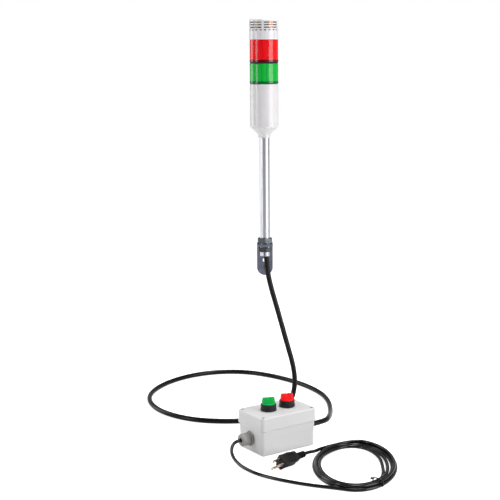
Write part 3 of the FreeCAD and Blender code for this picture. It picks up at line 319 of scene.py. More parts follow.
def slice_at(build, point, direction):
    """Cuts all faces along a plane and keeps both sides."""
    bmesh.ops.bisect_plane(build, geom=build.verts[:] + build.edges[:] + build.faces[:],
                           plane_co=point, plane_no=direction)


def join(build, other):
    """Adds another bmesh to this one."""
    loose = bpy.data.meshes.new("loose")
    other.to_mesh(loose)
    other.free()
    build.from_mesh(loose)
    bpy.data.meshes.remove(loose)


def soften(build, edges, width, steps=3):
    """Rounds edges over with a bevel."""
    bmesh.ops.bevel(build, geom=edges, offset=width, segments=steps, profile=0.5,
                    affect="EDGES", material=-1)


def spun(build, profile, axis_at, steps=96):
    """Turns a closed profile of (radius, height) about an upright axis."""
    verts = [build.verts.new((axis_at.x + r, axis_at.y, z)) for r, z in profile]
    edges = [build.edges.new((a, b)) for a, b in zip(verts, verts[1:] + verts[:1])]
    bmesh.ops.spin(build, geom=verts + edges, cent=axis_at, axis=(0, 0, 1), angle=math.tau,
                   steps=steps, use_merge=True, use_duplicate=False)

# %% [markdown]
# ## Tower housings
# The cap, the body and the base are moulded in light grey ABS, with a soft gloss that a
# polished mould leaves. The shapes are already right in the CAD, so only a finish is added:
# a fine even grain breaks the gloss a little, as on every moulded surface.

# %% Tower finish
PLASTIC_IOR = 1.53
tower_abs = grained("moulded ABS, light grey", "#e4e2e4", grain_mm=0.9, depth_mm=0.002,
                    nodes=["sound_cap", "tower_body", "tower_base"], Roughness=0.24, IOR=PLASTIC_IOR)
print(tower_abs.name, "is on the cap, the body and the base")

# %% [markdown]
# Behind the slots of the cap stands a thin liner, and its dark colour is painted shade: the
# shade inside the cap, where the slots let little light in. Two warm patches on it are painted
# light: the brass disc and the copper winding behind it, as they look where light reaches them
# through the slots. The patches are smooth bands of the angle about the tower's axis.

# %% Liner with painted shade and painted light behind the slots
LINER_INNER_R, LINER_OUTER_R = 25.4 * MM, 25.9 * MM
LINER_LOW, LINER_HIGH = 15.5 * MM, 36.5 * MM       # above the cap's foot
# Painted light: the brass and the winding behind, as they look lit through the slots.
PAINTED_LIGHT_PATCHES = ((-56.0, 15.0, "#ffb061"), (-128.0, 14.0, "#b9a47c"))   # degrees: middle, half width
cap_low, cap_high = box_of("sound_cap")
tower_axis = Vector(((cap_low.x + cap_high.x) / 2, (cap_low.y + cap_high.y) / 2, 0.0))


def angle_about_tower(material):
    """Angle in radians about the tower's axis, and the height, as sockets."""
    place = add_node(material, "ShaderNodeTexCoord")
    parts = add_node(material, "ShaderNodeSeparateXYZ", {"Vector": place.outputs["Object"]})
    across = add_node(material, "ShaderNodeMath", {0: parts.outputs["X"], 1: tower_axis.x},
                      operation="SUBTRACT")
    along = add_node(material, "ShaderNodeMath", {0: parts.outputs["Y"], 1: tower_axis.y},
                     operation="SUBTRACT")
    angle = add_node(material, "ShaderNodeMath", {0: along.outputs[0], 1: across.outputs[0]},
                     operation="ARCTAN2")
    return angle.outputs[0], parts.outputs["Z"]


shade_liner, shader = new_finish("liner with painted shade and painted light", {"Roughness": 0.55})
angle = angle_about_tower(shade_liner)[0]
# Painted shade: the dark inside of the cap, as the liner's base colour; the loop paints the lit patches on
# it.
colour = linear("#2b221d")
for middle, half_width, tint in PAINTED_LIGHT_PATCHES:
    away = add_node(shade_liner, "ShaderNodeMath", {0: angle, 1: math.radians(middle)}, operation="SUBTRACT")
    away = add_node(shade_liner, "ShaderNodeMath", {0: away.outputs[0]}, operation="ABSOLUTE")
    share = add_node(shade_liner, "ShaderNodeMapRange", {
        "Value": away.outputs[0], "From Min": math.radians(half_width),
        "From Max": math.radians(half_width * 0.4)}, interpolation_type="SMOOTHSTEP")
    blend = add_node(shade_liner, "ShaderNodeMix", {0: share.outputs[0], 6: colour, 7: linear(tint)},
                     data_type="RGBA")
    colour = blend.outputs[2]
shade_liner.node_tree.links.new(colour, shader.inputs["Base Color"])

build = bmesh.new()
spun(build, [(r, cap_low.z + z) for r, z in (
    (LINER_INNER_R, LINER_LOW), (LINER_OUTER_R, LINER_LOW),
    (LINER_OUTER_R, LINER_HIGH), (LINER_INNER_R, LINER_HIGH))], tower_axis)
tidy(build)
add_piece("painted_shade_liner", build, shade_liner, "frame", slot="sounder_brass")

# %% [markdown]
# ### Lenses
# Each lens is a clear coloured tube of polycarbonate. Fine ripples round it spread the
# light of the lamp inside, and they also break every reflection into small dashes. The
# band at the foot has short ribs for the fingers, where the lens is turned to unlock it.
# The tube is one profile spun round the tower's axis, and the ripples are in the profile.
# Flutes inside the wall run upwards, and show as darker streaks that follow the angle.

# %% Lens finish
FLUTES = ((52.0, 1.0), (17.0, 0.6))        # how many round the lens, and how dark
BAND_FADE = (5.2 * MM, 3.2 * MM)           # heights where the band's own colour starts and is full


def lens_finish(colour, bright, deep, band):
    """Clear plastic with darker upright streaks, and another colour in the band at its foot."""
    clear, shader = new_finish("clear polycarbonate, " + colour, {"Roughness": 0.09, "IOR": 1.5})
    angle, height = angle_about_tower(clear)
    streaks = None
    for count, strength in FLUTES:
        turned = add_node(clear, "ShaderNodeMath", {0: angle, 1: count}, operation="MULTIPLY")
        wave = add_node(clear, "ShaderNodeMath", {0: turned.outputs[0]}, operation="SINE")
        wave = add_node(clear, "ShaderNodeMath", {0: wave.outputs[0], 1: strength}, operation="MULTIPLY")
        if streaks:
            wave = add_node(clear, "ShaderNodeMath", {0: wave.outputs[0], 1: streaks}, operation="ADD")
        streaks = wave.outputs[0]
    share = add_node(clear, "ShaderNodeMapRange", {
        "Value": streaks, "From Min": -0.2, "From Max": 1.4, "To Min": 0.0, "To Max": 0.9},
        interpolation_type="SMOOTHSTEP")
    body = add_node(clear, "ShaderNodeMix", {0: share.outputs[0], 6: linear(bright), 7: linear(deep)},
                    data_type="RGBA")
    low = box_of(colour + "_lens")[0].z
    foot = add_node(clear, "ShaderNodeMapRange", {
        "Value": height, "From Min": low + BAND_FADE[0], "From Max": low + BAND_FADE[1]})
    whole = add_node(clear, "ShaderNodeMix", {0: foot.outputs[0], 6: body.outputs[2], 7: linear(band)},
                     data_type="RGBA")
    clear.node_tree.links.new(whole.outputs[2], shader.inputs["Base Color"])
    return clear


# %% Lens tubes
RIPPLE_PITCH = 3.2 * MM
RIPPLE_DEPTH = 0.12 * MM
RIPPLE_STEPS = 6           # points for each ripple
LENS_WALL = 2.4 * MM
TUBE_SETBACK = 0.2 * MM    # tube inside the band
NECK_SETBACK = 0.4 * MM    # neck above the band, and rim at the top
NECK_HEIGHT, RIM_HEIGHT = 0.5 * MM, 0.6 * MM
BAND_HEIGHT = 4.0 * MM
BAND_EDGE = 0.3 * MM
BAND_RIBS = 72
RIB_SIZE = Vector((0.5 * MM, 0.9 * MM, BAND_HEIGHT * 0.62))
RIB_SINK = 0.2 * MM


def lens_tube(colour, material):
    """A rippled tube with a ribbed band at its foot."""
    node = colour + "_lens"
    low, high = box_of(node)
    axis_at = Vector(((low.x + high.x) / 2, (low.y + high.y) / 2, 0.0))
    band_r = (high.x - low.x) / 2
    tube_r = band_r - TUBE_SETBACK
    neck_low = low.z + BAND_HEIGHT + 0.1 * MM
    profile = [(tube_r - LENS_WALL, low.z), (band_r - BAND_EDGE, low.z), (band_r, low.z + BAND_EDGE),
               (band_r, low.z + BAND_HEIGHT), (tube_r - NECK_SETBACK, neck_low),
               (tube_r - NECK_SETBACK, neck_low + NECK_HEIGHT)]
    start = neck_low + 0.7 * MM
    rippled = high.z - RIM_HEIGHT - start
    rises = int(rippled / RIPPLE_PITCH * RIPPLE_STEPS)
    for i in range(rises + 1):
        dip = RIPPLE_DEPTH * (1.0 - math.cos(math.tau * i / RIPPLE_STEPS))
        profile.append((tube_r - dip, start + rippled * i / rises))
    profile += [(tube_r - NECK_SETBACK, high.z), (tube_r - LENS_WALL, high.z)]
    build = bmesh.new()
    spun(build, profile, axis_at)
    rib = bmesh.ops.create_cube(build, size=1.0)["verts"]
    bmesh.ops.scale(build, verts=rib, vec=RIB_SIZE)
    bmesh.ops.translate(build, verts=rib, vec=(axis_at.x + band_r - RIB_SINK, axis_at.y,
                                               low.z + BAND_HEIGHT / 2))
    faces = list({face for vert in rib for face in vert.link_faces})
    edges = list({edge for face in faces for edge in face.edges})
    bmesh.ops.spin(build, geom=rib + edges + faces, cent=axis_at, axis=(0, 0, 1),
                   angle=math.tau * (BAND_RIBS - 1) / BAND_RIBS, steps=BAND_RIBS - 1, use_duplicate=True)
    tidy(build)
    return add_piece(colour + "_lens_tube", build, material, "frame", node,
                     slot=colour + "_clear", sharp=40)


# %% Lens pieces
lens_tube("red", lens_finish("red", bright="#ff0010", deep="#c20014", band="#5c0512"))
lens_tube("green", lens_finish("green", bright="#00c23c", deep="#008a34", band="#006a30"))

# %% [markdown]
# ### Turn knobs
# A knob is a low disc with a tapered bar across it for finger and thumb, and a notch in
# the bar's top shows which way it points. It starts as a cube and two cylinders. A bevel
# rounds the bar's edges as the mould does. Then three cuts mark the notch across it, and
# the middle one is pushed down. The notch comes last, as a bevel would spike its inner edge.

# %% Knobs
BOX_TURN = math.radians(34.4)
KNOB_TURN = BOX_TURN - math.radians(20.0)
KNOB_DISC_R = 13.3 * MM
BAR_FOOT = Vector((25.0, 11.4)) * MM
BAR_TOP = Vector((23.0, 7.0)) * MM
BAR_HEIGHT = 10.8 * MM
BAR_SINK, BAR_EDGE_R = 0.7 * MM, 0.9 * MM       # the bar goes a little way into the disc
NOTCH_HALF, NOTCH_DEPTH = 1.7 * MM, 1.0 * MM
DISC_HEIGHT, DISC_EDGE_R = 6.0 * MM, 0.6 * MM
STEM_R, STEM_FOOT, STEM_LAP = 5.0 * MM, 30.0 * MM, 5.0 * MM
TOUCH = 1e-6


def knob(colour, material):
    """The disc, the notched bar and the stem of one knob."""
    low, high = box_of(colour + "_knob")
    centre = (low + high) / 2
    disc_top = high.z - BAR_HEIGHT
    build = bmesh.new()
    for vert in bmesh.ops.create_cube(build, size=1.0)["verts"]:
        size, height = (BAR_TOP, high.z) if vert.co.z > 0 else (BAR_FOOT, disc_top - BAR_SINK)
        vert.co = Vector((vert.co.x * size.x, vert.co.y * size.y, height))
    outer = [e for e in build.edges if max(v.co.z for v in e.verts) > disc_top]
    soften(build, outer, BAR_EDGE_R)
    for x in (-NOTCH_HALF, 0.0, NOTCH_HALF):
        slice_at(build, (x, 0, 0), (1, 0, 0))
    for vert in build.verts:
        if abs(vert.co.x) < TOUCH and vert.co.z > high.z - NOTCH_DEPTH:
            vert.co.z -= NOTCH_DEPTH
    bmesh.ops.rotate(build, verts=build.verts, cent=(0, 0, 0), matrix=Matrix.Rotation(KNOB_TURN, 3, "Z"))
    bmesh.ops.translate(build, verts=build.verts, vec=(centre.x, centre.y, 0))
    for radius, bottom, top in ((KNOB_DISC_R, disc_top - DISC_HEIGHT, disc_top),
                                (STEM_R, low.z + STEM_FOOT, disc_top - STEM_LAP)):
        place = Matrix.Translation((centre.x, centre.y, (top + bottom) / 2))
        disc = bmesh.ops.create_cone(build, cap_ends=True, segments=72, radius1=radius, radius2=radius,
                                     depth=top - bottom, matrix=place)["verts"]
        rim = {e for v in disc for e in v.link_edges if all(abs(w.co.z - top) < TOUCH for w in e.verts)}
        soften(build, list(rim), DISC_EDGE_R)
    tidy(build)
    return add_piece(colour + "_turn_knob", build, material, colour + "_knob", colour + "_knob",
                     slot="knob_" + colour, sharp=30)


for colour, code in (("green", "#00ad4c"), ("red", "#f4141a")):
    knob(colour, grained("moulded ABS, knob " + colour, code, grain_mm=0.8, depth_mm=0.003,
                         Roughness=0.3, Specular_IOR_Level=0.25))

# %% [markdown]
# ### Mains plug
# The plug is one soft moulding round the pins: a flat top for the thumb, sides that narrow
# to the earth pin below, and a ribbed sleeve that lets the cord bend without a kink. It
# starts as a cube. Cuts at its side, its shoulder and its waist let the lower half taper
# and the rear shrink towards the cord, and the bevel rounds it all like warm PVC. Two cuts
# each way mark the thumb pad, which is inset, and the sleeve is a spun profile.

# %% Plug
PLUG_AT = Vector((23.0, -313.5, FLOOR_MM + 14.5)) * MM
PLUG_TURN, PLUG_ROLL = math.radians(226.5), math.radians(-32.0)
PLUG_LENGTH, PLUG_HALF = 44.0 * MM, 12.8 * MM
PLUG_TOP, PLUG_SIDE, PLUG_FOOT = 9.5 * MM, -3.4 * MM, -13.5 * MM
PLUG_SHOULDER, PLUG_WAIST = 6.8 * MM, -0.55 * PLUG_LENGTH
PLUG_EDGE_R = 1.5 * MM
TOP_SHARE, FOOT_SHARE = 0.86, 0.5            # width at the top and the foot
WAIST_SHARES = Vector((0.98, 0.98, 0.86))    # width, top and foot behind the waist
REAR_SHARES = Vector((0.8, 0.78, 0.5))       # width, top and foot at the rear
SLEEVE_LENGTH, SLEEVE_R, SLEEVE_TIP_R, SLEEVE_RIBS = 20.0 * MM, 6.7 * MM, 6.2 * MM, 3
RIB_GROOVE = 2.1 * MM
COLLAR_LENGTH, COLLAR_PROUD = 1.2 * MM, 0.8 * MM
SLEEVE_LAP, SLEEVE_BORE = 3.0 * MM, 0.5 * MM
PAD_START, PAD_END, PAD_HALF, PAD_DEPTH = 17.0 * MM, 32.0 * MM, 5.2 * MM, 1.1 * MM
PAD_LIP = 0.8 * MM
plug_place = (Matrix.Translation(PLUG_AT) @ Matrix.Rotation(PLUG_TURN, 4, "Z")
              @ Matrix.Rotation(PLUG_ROLL, 4, "X"))

build = bmesh.new()
bmesh.ops.create_cube(build, size=1.0)
for vert in build.verts:
    vert.co = Vector(((vert.co.x - 0.5) * PLUG_LENGTH, vert.co.y * 2 * PLUG_HALF,
                      PLUG_TOP if vert.co.z > 0 else PLUG_FOOT))
slice_at(build, (0, 0, PLUG_SIDE), (0, 0, 1))
slice_at(build, (0, 0, PLUG_SHOULDER), (0, 0, 1))
slice_at(build, (PLUG_WAIST, 0, 0), (1, 0, 0))
for vert in build.verts:
    x, y, z = vert.co
    if z > PLUG_TOP - TOUCH:
        y *= TOP_SHARE
    elif z < PLUG_FOOT + TOUCH:
        y *= FOOT_SHARE
    if x < PLUG_WAIST + TOUCH:
        shares = REAR_SHARES if x < PLUG_WAIST - TOUCH else WAIST_SHARES
        y *= shares.x
        z *= shares.y if z > 0 else shares.z
    vert.co = (x, y, z)
SHARP_FOLD = 0.4                             # radians
outer = [e for e in build.edges if len(e.link_faces) == 2 and e.calc_face_angle() > SHARP_FOLD]
soften(build, outer, PLUG_EDGE_R, 4)
for place, direction in (((-PAD_START, 0, 0), (1, 0, 0)), ((-PAD_END, 0, 0), (1, 0, 0)),
                         ((0, PAD_HALF, 0), (0, 1, 0)), ((0, -PAD_HALF, 0), (0, 1, 0))):
    slice_at(build, place, direction)
pad = []
for face in build.faces:
    spot = face.calc_center_median()
    if face.normal.z > 0.9 and spot.z > 0 and abs(spot.y) < PAD_HALF and PAD_START < -spot.x < PAD_END:
        pad.append(face)
bmesh.ops.inset_region(build, faces=pad, thickness=PAD_LIP, depth=-PAD_DEPTH)
print("thumb pad:", len(pad), "faces inset")

# %% Plug sleeve
rib_start = PLUG_LENGTH + COLLAR_LENGTH
profile = [(SLEEVE_BORE, PLUG_LENGTH - SLEEVE_LAP), (SLEEVE_R + COLLAR_PROUD, PLUG_LENGTH - SLEEVE_LAP),
           (SLEEVE_R + COLLAR_PROUD, PLUG_LENGTH), (SLEEVE_R, rib_start)]
pitch = (SLEEVE_LENGTH - 1.0 * MM) / SLEEVE_RIBS
for i in range(SLEEVE_RIBS):
    r = SLEEVE_R + (SLEEVE_TIP_R - SLEEVE_R) * i / SLEEVE_RIBS
    for inwards, share in ((RIB_GROOVE, 0.1), (RIB_GROOVE, 0.38), (0.1 * MM, 0.48), (0.1 * MM, 0.9)):
        profile.append((r - inwards, rib_start + pitch * (i + share)))
profile += [(SLEEVE_TIP_R - 0.6 * MM, PLUG_LENGTH + SLEEVE_LENGTH),
            (SLEEVE_BORE, PLUG_LENGTH + SLEEVE_LENGTH)]
sleeve = bmesh.new()
spun(sleeve, profile, Vector((0, 0, 0)), 40)
tidy(sleeve)
bmesh.ops.rotate(sleeve, verts=sleeve.verts, cent=(0, 0, 0),
                 matrix=Matrix.Rotation(math.radians(-90), 3, "Y"))
join(build, sleeve)
bmesh.ops.transform(build, matrix=plug_place, verts=build.verts)
tidy(build)
plug_pvc = grained("moulded PVC, black", "#121114", grain_mm=0.7, depth_mm=0.03,
                   Specular_IOR_Level=0.28, Roughness=0.3, IOR=PLASTIC_IOR)
add_piece("mains_plug", build, plug_pvc, "frame", "plug_body", slot="cord_black", sharp=38)

# %% [markdown]
# ### Cord tie
# A plastic-coated wire goes once round the bundle of turns, and its two ends are twisted
# together on the inner side. It is one thin cable too: down one strand of the twist, round
# the bundle and back up the other strand.

# %% Cord tie
TIE_RIM = Vector((204.37, -404.19, FLOOR_MM))      # outer edge of the bundle at the tie
TIE_OUT = Vector((0.752, -0.659, 0.0)).normalized()
TIE_ALONG = Vector((0, 0, 1)).cross(TIE_OUT)
TIE_DIAMETER = 2.0 * MM
TWIST_R, TWIST_TURNS, TWIST_STEPS = 1.2, 2.2, 14
TWIST_FROM, TWIST_TO = Vector((31.0, 10.4)), Vector((25.0, 11.8))      # inward and up, in mm
# Inward, up and aside in mm, once round the measured bundle.
TIE_LOOP = [(22.0, 12.9, 0.8), (16.0, 13.6, 0.8), (9.0, 13.4, 0.6), (5.2, 11.0, 0.4), (3.6, 6.0, 0.2),
            (4.2, 2.0, 0.0), (8.0, 0.9, 0.0), (14.0, 0.9, -0.3), (21.0, 0.9, -0.5), (25.2, 1.8, -0.7),
            (26.4, 5.0, -0.9), (26.0, 8.6, -1.0)]


def tie_point(inward, height, aside):
    """A point at the tie, in mm: inward from the rim, above the floor, and along the cords."""
    return tuple(TIE_RIM - TIE_OUT * inward + TIE_ALONG * aside + Vector((0, 0, height)))


def strand(side):
    """One of the two twisted ends, from its tip to the bundle."""
    points = []
    for i in range(TWIST_STEPS + 1):
        spot = TWIST_FROM + (TWIST_TO - TWIST_FROM) * i / TWIST_STEPS
        turn = math.tau * TWIST_TURNS * i / TWIST_STEPS
        points.append(tie_point(spot.x, spot.y + side * TWIST_R * math.sin(turn),
                                side * TWIST_R * math.cos(turn)))
    return points


tie_route = strand(1.0) + [tie_point(*spot) for spot in TIE_LOOP] + strand(-1.0)[::-1]
tie = cable("cord_tie", tie_route, TIE_DIAMETER, "frame")
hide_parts("coil_tie")
tie.data.materials.append(grained("PVC-coated wire", "#1a1a1c", grain_mm=0.6, depth_mm=0.01,
                                  Roughness=0.32))
print("cord tie:", len(tie_route), "control points")

# %% [markdown]
# ### Lid screws
# Four screws with a cross recess hold the lid. The recess is what makes a plain cylinder
# read as a screw: four cuts mark the cross on the head, and its faces are pushed down.

# %% Lid screws
BOX_AT = Vector((19.6, -175.6))
SCREW_AT = Vector((56.8, 34.8))        # from the box's middle, along and across it
SCREW_R, SCREW_HEAD = 2.9 * MM, 2.2 * MM
TOP_TAPER, ARM_SHARE, REACH_SHARE, RECESS_SHARE = 0.94, 0.17, 0.62, 0.55


def cross_head(radius, height):
    """A screw head on the origin, top upwards, with a cross recess."""
    head = bmesh.new()
    bmesh.ops.create_cone(head, cap_ends=True, segments=32, radius1=radius, radius2=radius * TOP_TAPER,
                          depth=height, matrix=Matrix.Translation((0, 0, -height / 2)))
    arm, reach = radius * ARM_SHARE, radius * REACH_SHARE
    for distance in (-reach, -arm, arm, reach):
        for direction in ((1, 0, 0), (0, 1, 0)):
            slice_at(head, Vector(direction) * distance, direction)
    cross = []
    for face in head.faces:
        spot = face.calc_center_median()
        near, far = sorted((abs(spot.x), abs(spot.y)))
        if face.normal.z > 0.9 and near < arm and far < reach:
            cross.append(face)
    bmesh.ops.inset_region(head, faces=cross, thickness=0.0, depth=0.0)
    pushed = bmesh.ops.extrude_face_region(head, geom=cross)
    bmesh.ops.delete(head, geom=cross, context="FACES")
    bmesh.ops.translate(head, verts=[g for g in pushed["geom"] if isinstance(g, bmesh.types.BMVert)],
                        vec=(0, 0, -height * RECESS_SHARE))
    tidy(head)
    return head


top_z = box_of("lid_screws")[1].z
build = bmesh.new()
for along in (-1, 1):
    for across in (-1, 1):
        offset = Matrix.Rotation(BOX_TURN, 2) @ Vector((SCREW_AT.x * along, SCREW_AT.y * across))
        head = cross_head(SCREW_R, SCREW_HEAD)
        spot = (BOX_AT + offset) * MM
        tightened = Matrix.Rotation(0.5 * along + across, 3, "Z")      # each stops at its own angle
        bmesh.ops.rotate(head, verts=head.verts, cent=(0, 0, 0), matrix=tightened)
        bmesh.ops.translate(head, verts=head.verts, vec=(spot.x, spot.y, top_z))
        join(build, head)
screw_brass = grained("brass-plated screw", "#b08d63", grain_mm=0.5, depth_mm=0.01,
                      Metallic=1.0, Roughness=0.4)
add_piece("lid_screw_heads", build, screw_brass, "frame", "lid_screws", slot="screw_brass", sharp=30)

# %% [markdown]
# ## Control box
# The box is a plain industrial enclosure, moulded in grey ABS with a fine matt texture that
# hides scratches. The texture is a small noise, which tips the surface by a few degrees.
# The lid ends in a lip that hangs over the base, and a small ledge runs round it above the
# seam. The CAD has both as square steps. A copy of each CAD mesh keeps its holes and posts,
# and only the rings of vertices at the ledge and at the seam are moved, so that the ledge
# slopes, the lip curls in below, and the base's upper edge draws back into a thin groove.

# %% Box lid and base
box_abs = grained("textured ABS, box grey", "#e0dfdf", grain_mm=0.6, depth_mm=0.012,
                  Roughness=0.42, IOR=PLASTIC_IOR)
# All in mm, with heights above the floor.
BOX_HALF = Vector((65.0, 43.0))
BOX_CORNER = 8.0
SEAM_Z, STEP_Z = 48.5, 60.0
LID_STEP, BASE_INSET = 0.7, 2.6
LIP_HEIGHT, GROOVE_HEIGHT = 2.1, 1.7


def box_frame(point):
    """Where a point lies from the box's middle with the box turned straight, and its height."""
    flat = Matrix.Rotation(-BOX_TURN, 2) @ (point.xy / MM - BOX_AT)
    return flat, point.z / MM - FLOOR_MM


def outline_distance(flat):
    """How far a point lies outside the lid's outline, and the way outwards."""
    side = Vector((abs(flat.x), abs(flat.y))) - (BOX_HALF - Vector((BOX_CORNER, BOX_CORNER)))
    if side.x > 0 and side.y > 0:
        away, way = side.length, side.normalized()
    else:
        away, way = (side.x, Vector((1, 0))) if side.x > side.y else (side.y, Vector((0, 1)))
    return away - BOX_CORNER, Vector((math.copysign(way.x, flat.x), math.copysign(way.y, flat.y)))


def move_ring(build, height, distance, inwards, raised):
    """Moves the ring of vertices at a height and a distance from the outline."""
    moved = 0
    for vert in build.verts:
        flat, z = box_frame(vert.co)
        away, way = outline_distance(flat)
        if abs(z - height) < 0.02 and abs(away - distance) < 0.15:
            flat = Matrix.Rotation(BOX_TURN, 2) @ (way * -inwards)
            vert.co += Vector((flat.x, flat.y, raised)) * MM
            moved += 1
    return moved


def ring_cut(build, height):
    """Cuts a new ring of vertices at a height."""
    slice_at(build, (0, 0, (height + FLOOR_MM) * MM), (0, 0, 1))


def keep_flats_flat(piece):
    """Lets a large flat face keep its own shading beside a small rounded one."""
    weighted = piece.modifiers.new("weighted normals", "WEIGHTED_NORMAL")
    weighted.keep_sharp = True


def box_copy(node):
    """A copy of a CAD node's loose triangles, merged."""
    build = bmesh.new()
    build.from_mesh(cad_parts[node].data)
    bmesh.ops.remove_doubles(build, verts=build.verts, dist=0.002 * MM)
    return build


build = box_copy("box_lid")
ring_cut(build, SEAM_Z + LIP_HEIGHT)
rings = [move_ring(build, STEP_Z, 0.0, inwards=0.0, raised=-3.6),
         move_ring(build, STEP_Z, -LID_STEP, inwards=0.0, raised=-2.6),
         move_ring(build, SEAM_Z, 0.0, inwards=0.8, raised=0.7)]
print("lid rings moved:", rings)
tidy(build)
keep_flats_flat(add_piece("box_lid_shell", build, box_abs, "frame", "box_lid", slot="box_grey", sharp=20))

build = box_copy("box_base")
ring_cut(build, SEAM_Z - GROOVE_HEIGHT)
print("base ring moved:", move_ring(build, SEAM_Z, -BASE_INSET, inwards=1.4, raised=0.0))
tidy(build)
keep_flats_flat(add_piece("box_base_shell", build, box_abs, "frame", "box_base", slot="box_grey", sharp=20))

# %% [markdown]
# The glands are moulded nylon, a harder plastic that keeps sharp facets and a clear gloss
# on them. The seals are soft black rubber, which is dull.

# %% Glands and seals
grained("moulded nylon, mid grey", "#9a9795", grain_mm=0.8, depth_mm=0.01, Roughness=0.2, IOR=PLASTIC_IOR,
        nodes=[side + "_gland_" + part for side in ("mains", "lead")
               for part in ("body", "nut", "locknut")])
grained("seal rubber", "#161618", grain_mm=0.6, depth_mm=0.01, Specular_IOR_Level=0.3, Roughness=0.6,
        nodes=["lower_seal", "middle_seal", "upper_seal", "lid_seal", "green_gasket", "red_gasket",
               "mains_gland_seal", "lead_gland_seal"])
print("glands and seals are dressed")

# %% [markdown]
# The switch rings and everything under the lid are glass-filled nylon, a black that is
# slightly rough from the glass fibres near the surface.

# %% Switch rings
grained("glass-filled nylon, black", "#1b1b1c", grain_mm=0.5, depth_mm=0.015,
        Specular_IOR_Level=0.3, Roughness=0.42, IOR=PLASTIC_IOR,
        nodes=[colour + "_" + part for colour in ("green", "red")
               for part in ("bezel", "operator", "locknut", "contact_block")])
print("switch rings and barrels are dressed")

# %% [markdown]
# ## Metals
# The pole is drawn aluminium tube, anodised clear: drawing leaves lines along it, so its
# bump is stretched upwards, and the lower end has a fine thread for the two nuts. The
# washers are bright zinc over machined steel, and the nuts are dark zinc-nickel steel. The
# bracket is pressed steel with a blue passivated zinc coat, whose colour drifts a little
# from place to place.

# %% Pole
THREAD_PITCH, THREAD_TOP = 1.5 * MM, 51.0 * MM
LINE_SPACING, LINE_STRETCH = 1.5 * MM, 0.02
anodised, shader = new_finish("anodised aluminium tube", {
    "Base Color": linear("#cdcdd4"), "Metallic": 1.0, "Roughness": 0.4})
place = add_node(anodised, "ShaderNodeTexCoord")
stretch = add_node(anodised, "ShaderNodeMapping", {"Vector": place.outputs["Object"],
                                                   "Scale": (1.0, 1.0, LINE_STRETCH)})
lines = add_node(anodised, "ShaderNodeTexNoise", {"Vector": stretch.outputs[0],
                                                  "Scale": 1.0 / LINE_SPACING})
drawn = add_node(anodised, "ShaderNodeBump", {
    "Height": lines.outputs["Fac"], "Distance": 0.002 * MM, "Strength": 0.3})
parts = add_node(anodised, "ShaderNodeSeparateXYZ", {"Vector": place.outputs["Object"]})
turns = add_node(anodised, "ShaderNodeMath", {0: parts.outputs["Z"], 1: math.tau / THREAD_PITCH},
                 operation="MULTIPLY")
wave = add_node(anodised, "ShaderNodeMath", {0: turns.outputs[0]}, operation="SINE")
threaded = add_node(anodised, "ShaderNodeMath", {0: parts.outputs["Z"], 1: THREAD_TOP},
                    operation="LESS_THAN")
wave = add_node(anodised, "ShaderNodeMath", {0: wave.outputs[0], 1: threaded.outputs[0]},
                operation="MULTIPLY")
thread = add_node(anodised, "ShaderNodeBump", {
    "Height": wave.outputs[0], "Distance": 0.12 * MM, "Strength": 0.5, "Normal": drawn.outputs[0]})
anodised.node_tree.links.new(thread.outputs[0], shader.inputs["Normal"])
dress(anodised, "pole")
print("thread pitch in mm:", THREAD_PITCH / MM)

# %% Nuts, washers, bracket and pins
zinc, shader = new_finish("blue passivated zinc", {"Metallic": 0.7, "Roughness": 0.4})
drift = grain_bump(zinc, shader, 7.0, 0.02)
tone = add_node(zinc, "ShaderNodeMix", {0: drift.outputs["Fac"], 6: linear("#6b7082"), 7: linear("#8d93a4")},
                data_type="RGBA")
zinc.node_tree.links.new(tone.outputs[2], shader.inputs["Base Color"])
dress(zinc, "l_bracket")
grained("bright zinc plate", "#a9b9c4", grain_mm=0.8, depth_mm=0.02, Metallic=1.0, Roughness=0.2,
        nodes=["toothed_washers"])
grained("dark zinc-nickel steel", "#54565b", grain_mm=0.6, depth_mm=0.004, Metallic=1.0, Roughness=0.3,
        nodes=["pole_nuts", "pole_lock_nut"])
grained("dulled brass", "#7c6a54", grain_mm=0.6, depth_mm=0.02, Metallic=1.0, Roughness=0.45,
        nodes=["bracket_screw", "sounder_coil"])
grained("nickel-plated brass", "#f0dccd", grain_mm=0.6, depth_mm=0.01, Metallic=1.0, Roughness=0.3,
        nodes=["plug_blades", "earth_pin"])
grained("brass sounder disc", "#e09a54", grain_mm=0.8, depth_mm=0.01, Metallic=0.6, Roughness=0.35,
        nodes=["sounder"])
print("metals are dressed")

# %% [markdown]
# ## Jackets and inside pieces
# The lamp lead has a rubber jacket with a grain from its curing tape, and only a dull
# gloss. The mains cord is smooth PVC, which gives thin bright lines along its turns.

# %% Jackets
rubber_jacket = grained("rubber cable jacket", "#0c0b0d", grain_mm=1.6, depth_mm=0.07,
                        Specular_IOR_Level=0.22, Roughness=0.24, nodes=["inner_lead", "lamp_lead"])
lamp_lead.data.materials.append(rubber_jacket)
pvc_jacket = grained("PVC cord jacket", "#09090b", grain_mm=1.5, depth_mm=0.004,
                     Specular_IOR_Level=0.42, Roughness=0.12,
                     nodes=["plug_body", "coil_tie", "mains_cord", "cord_coil", "plug_lead"])
mains_cord.data.materials.append(pvc_jacket)
print("both cords have their jackets")

# %% Inside pieces
grained("white moulded plastic", "#ededea", grain_mm=0.8, depth_mm=0.01, Roughness=0.5,
        nodes=["green_lamp_core", "red_lamp_core", "terminal_strip"])
grained("clear lamp face", "#f0e6b4", grain_mm=0.8, depth_mm=0.01, Roughness=0.2,
        nodes=["green_leds", "red_leds"])
grained("coated circuit board", "#155a34", grain_mm=2.0, depth_mm=0.02, Roughness=0.4,
        nodes=["control_board", "sounder_board"])
print("inside pieces are dressed")

# %% [markdown]
# ## Studio
# A pale floor, a pale surrounding and four soft lamps: a wide one at the right, a narrow
# one at the left, one behind the left for the rim, and one above. The floor looks white to
# the camera and still takes the object's shadow. Shiny plastic shows what stands round
# it, so in reflections the surrounding is dimmer, and darkest where the camera stands.

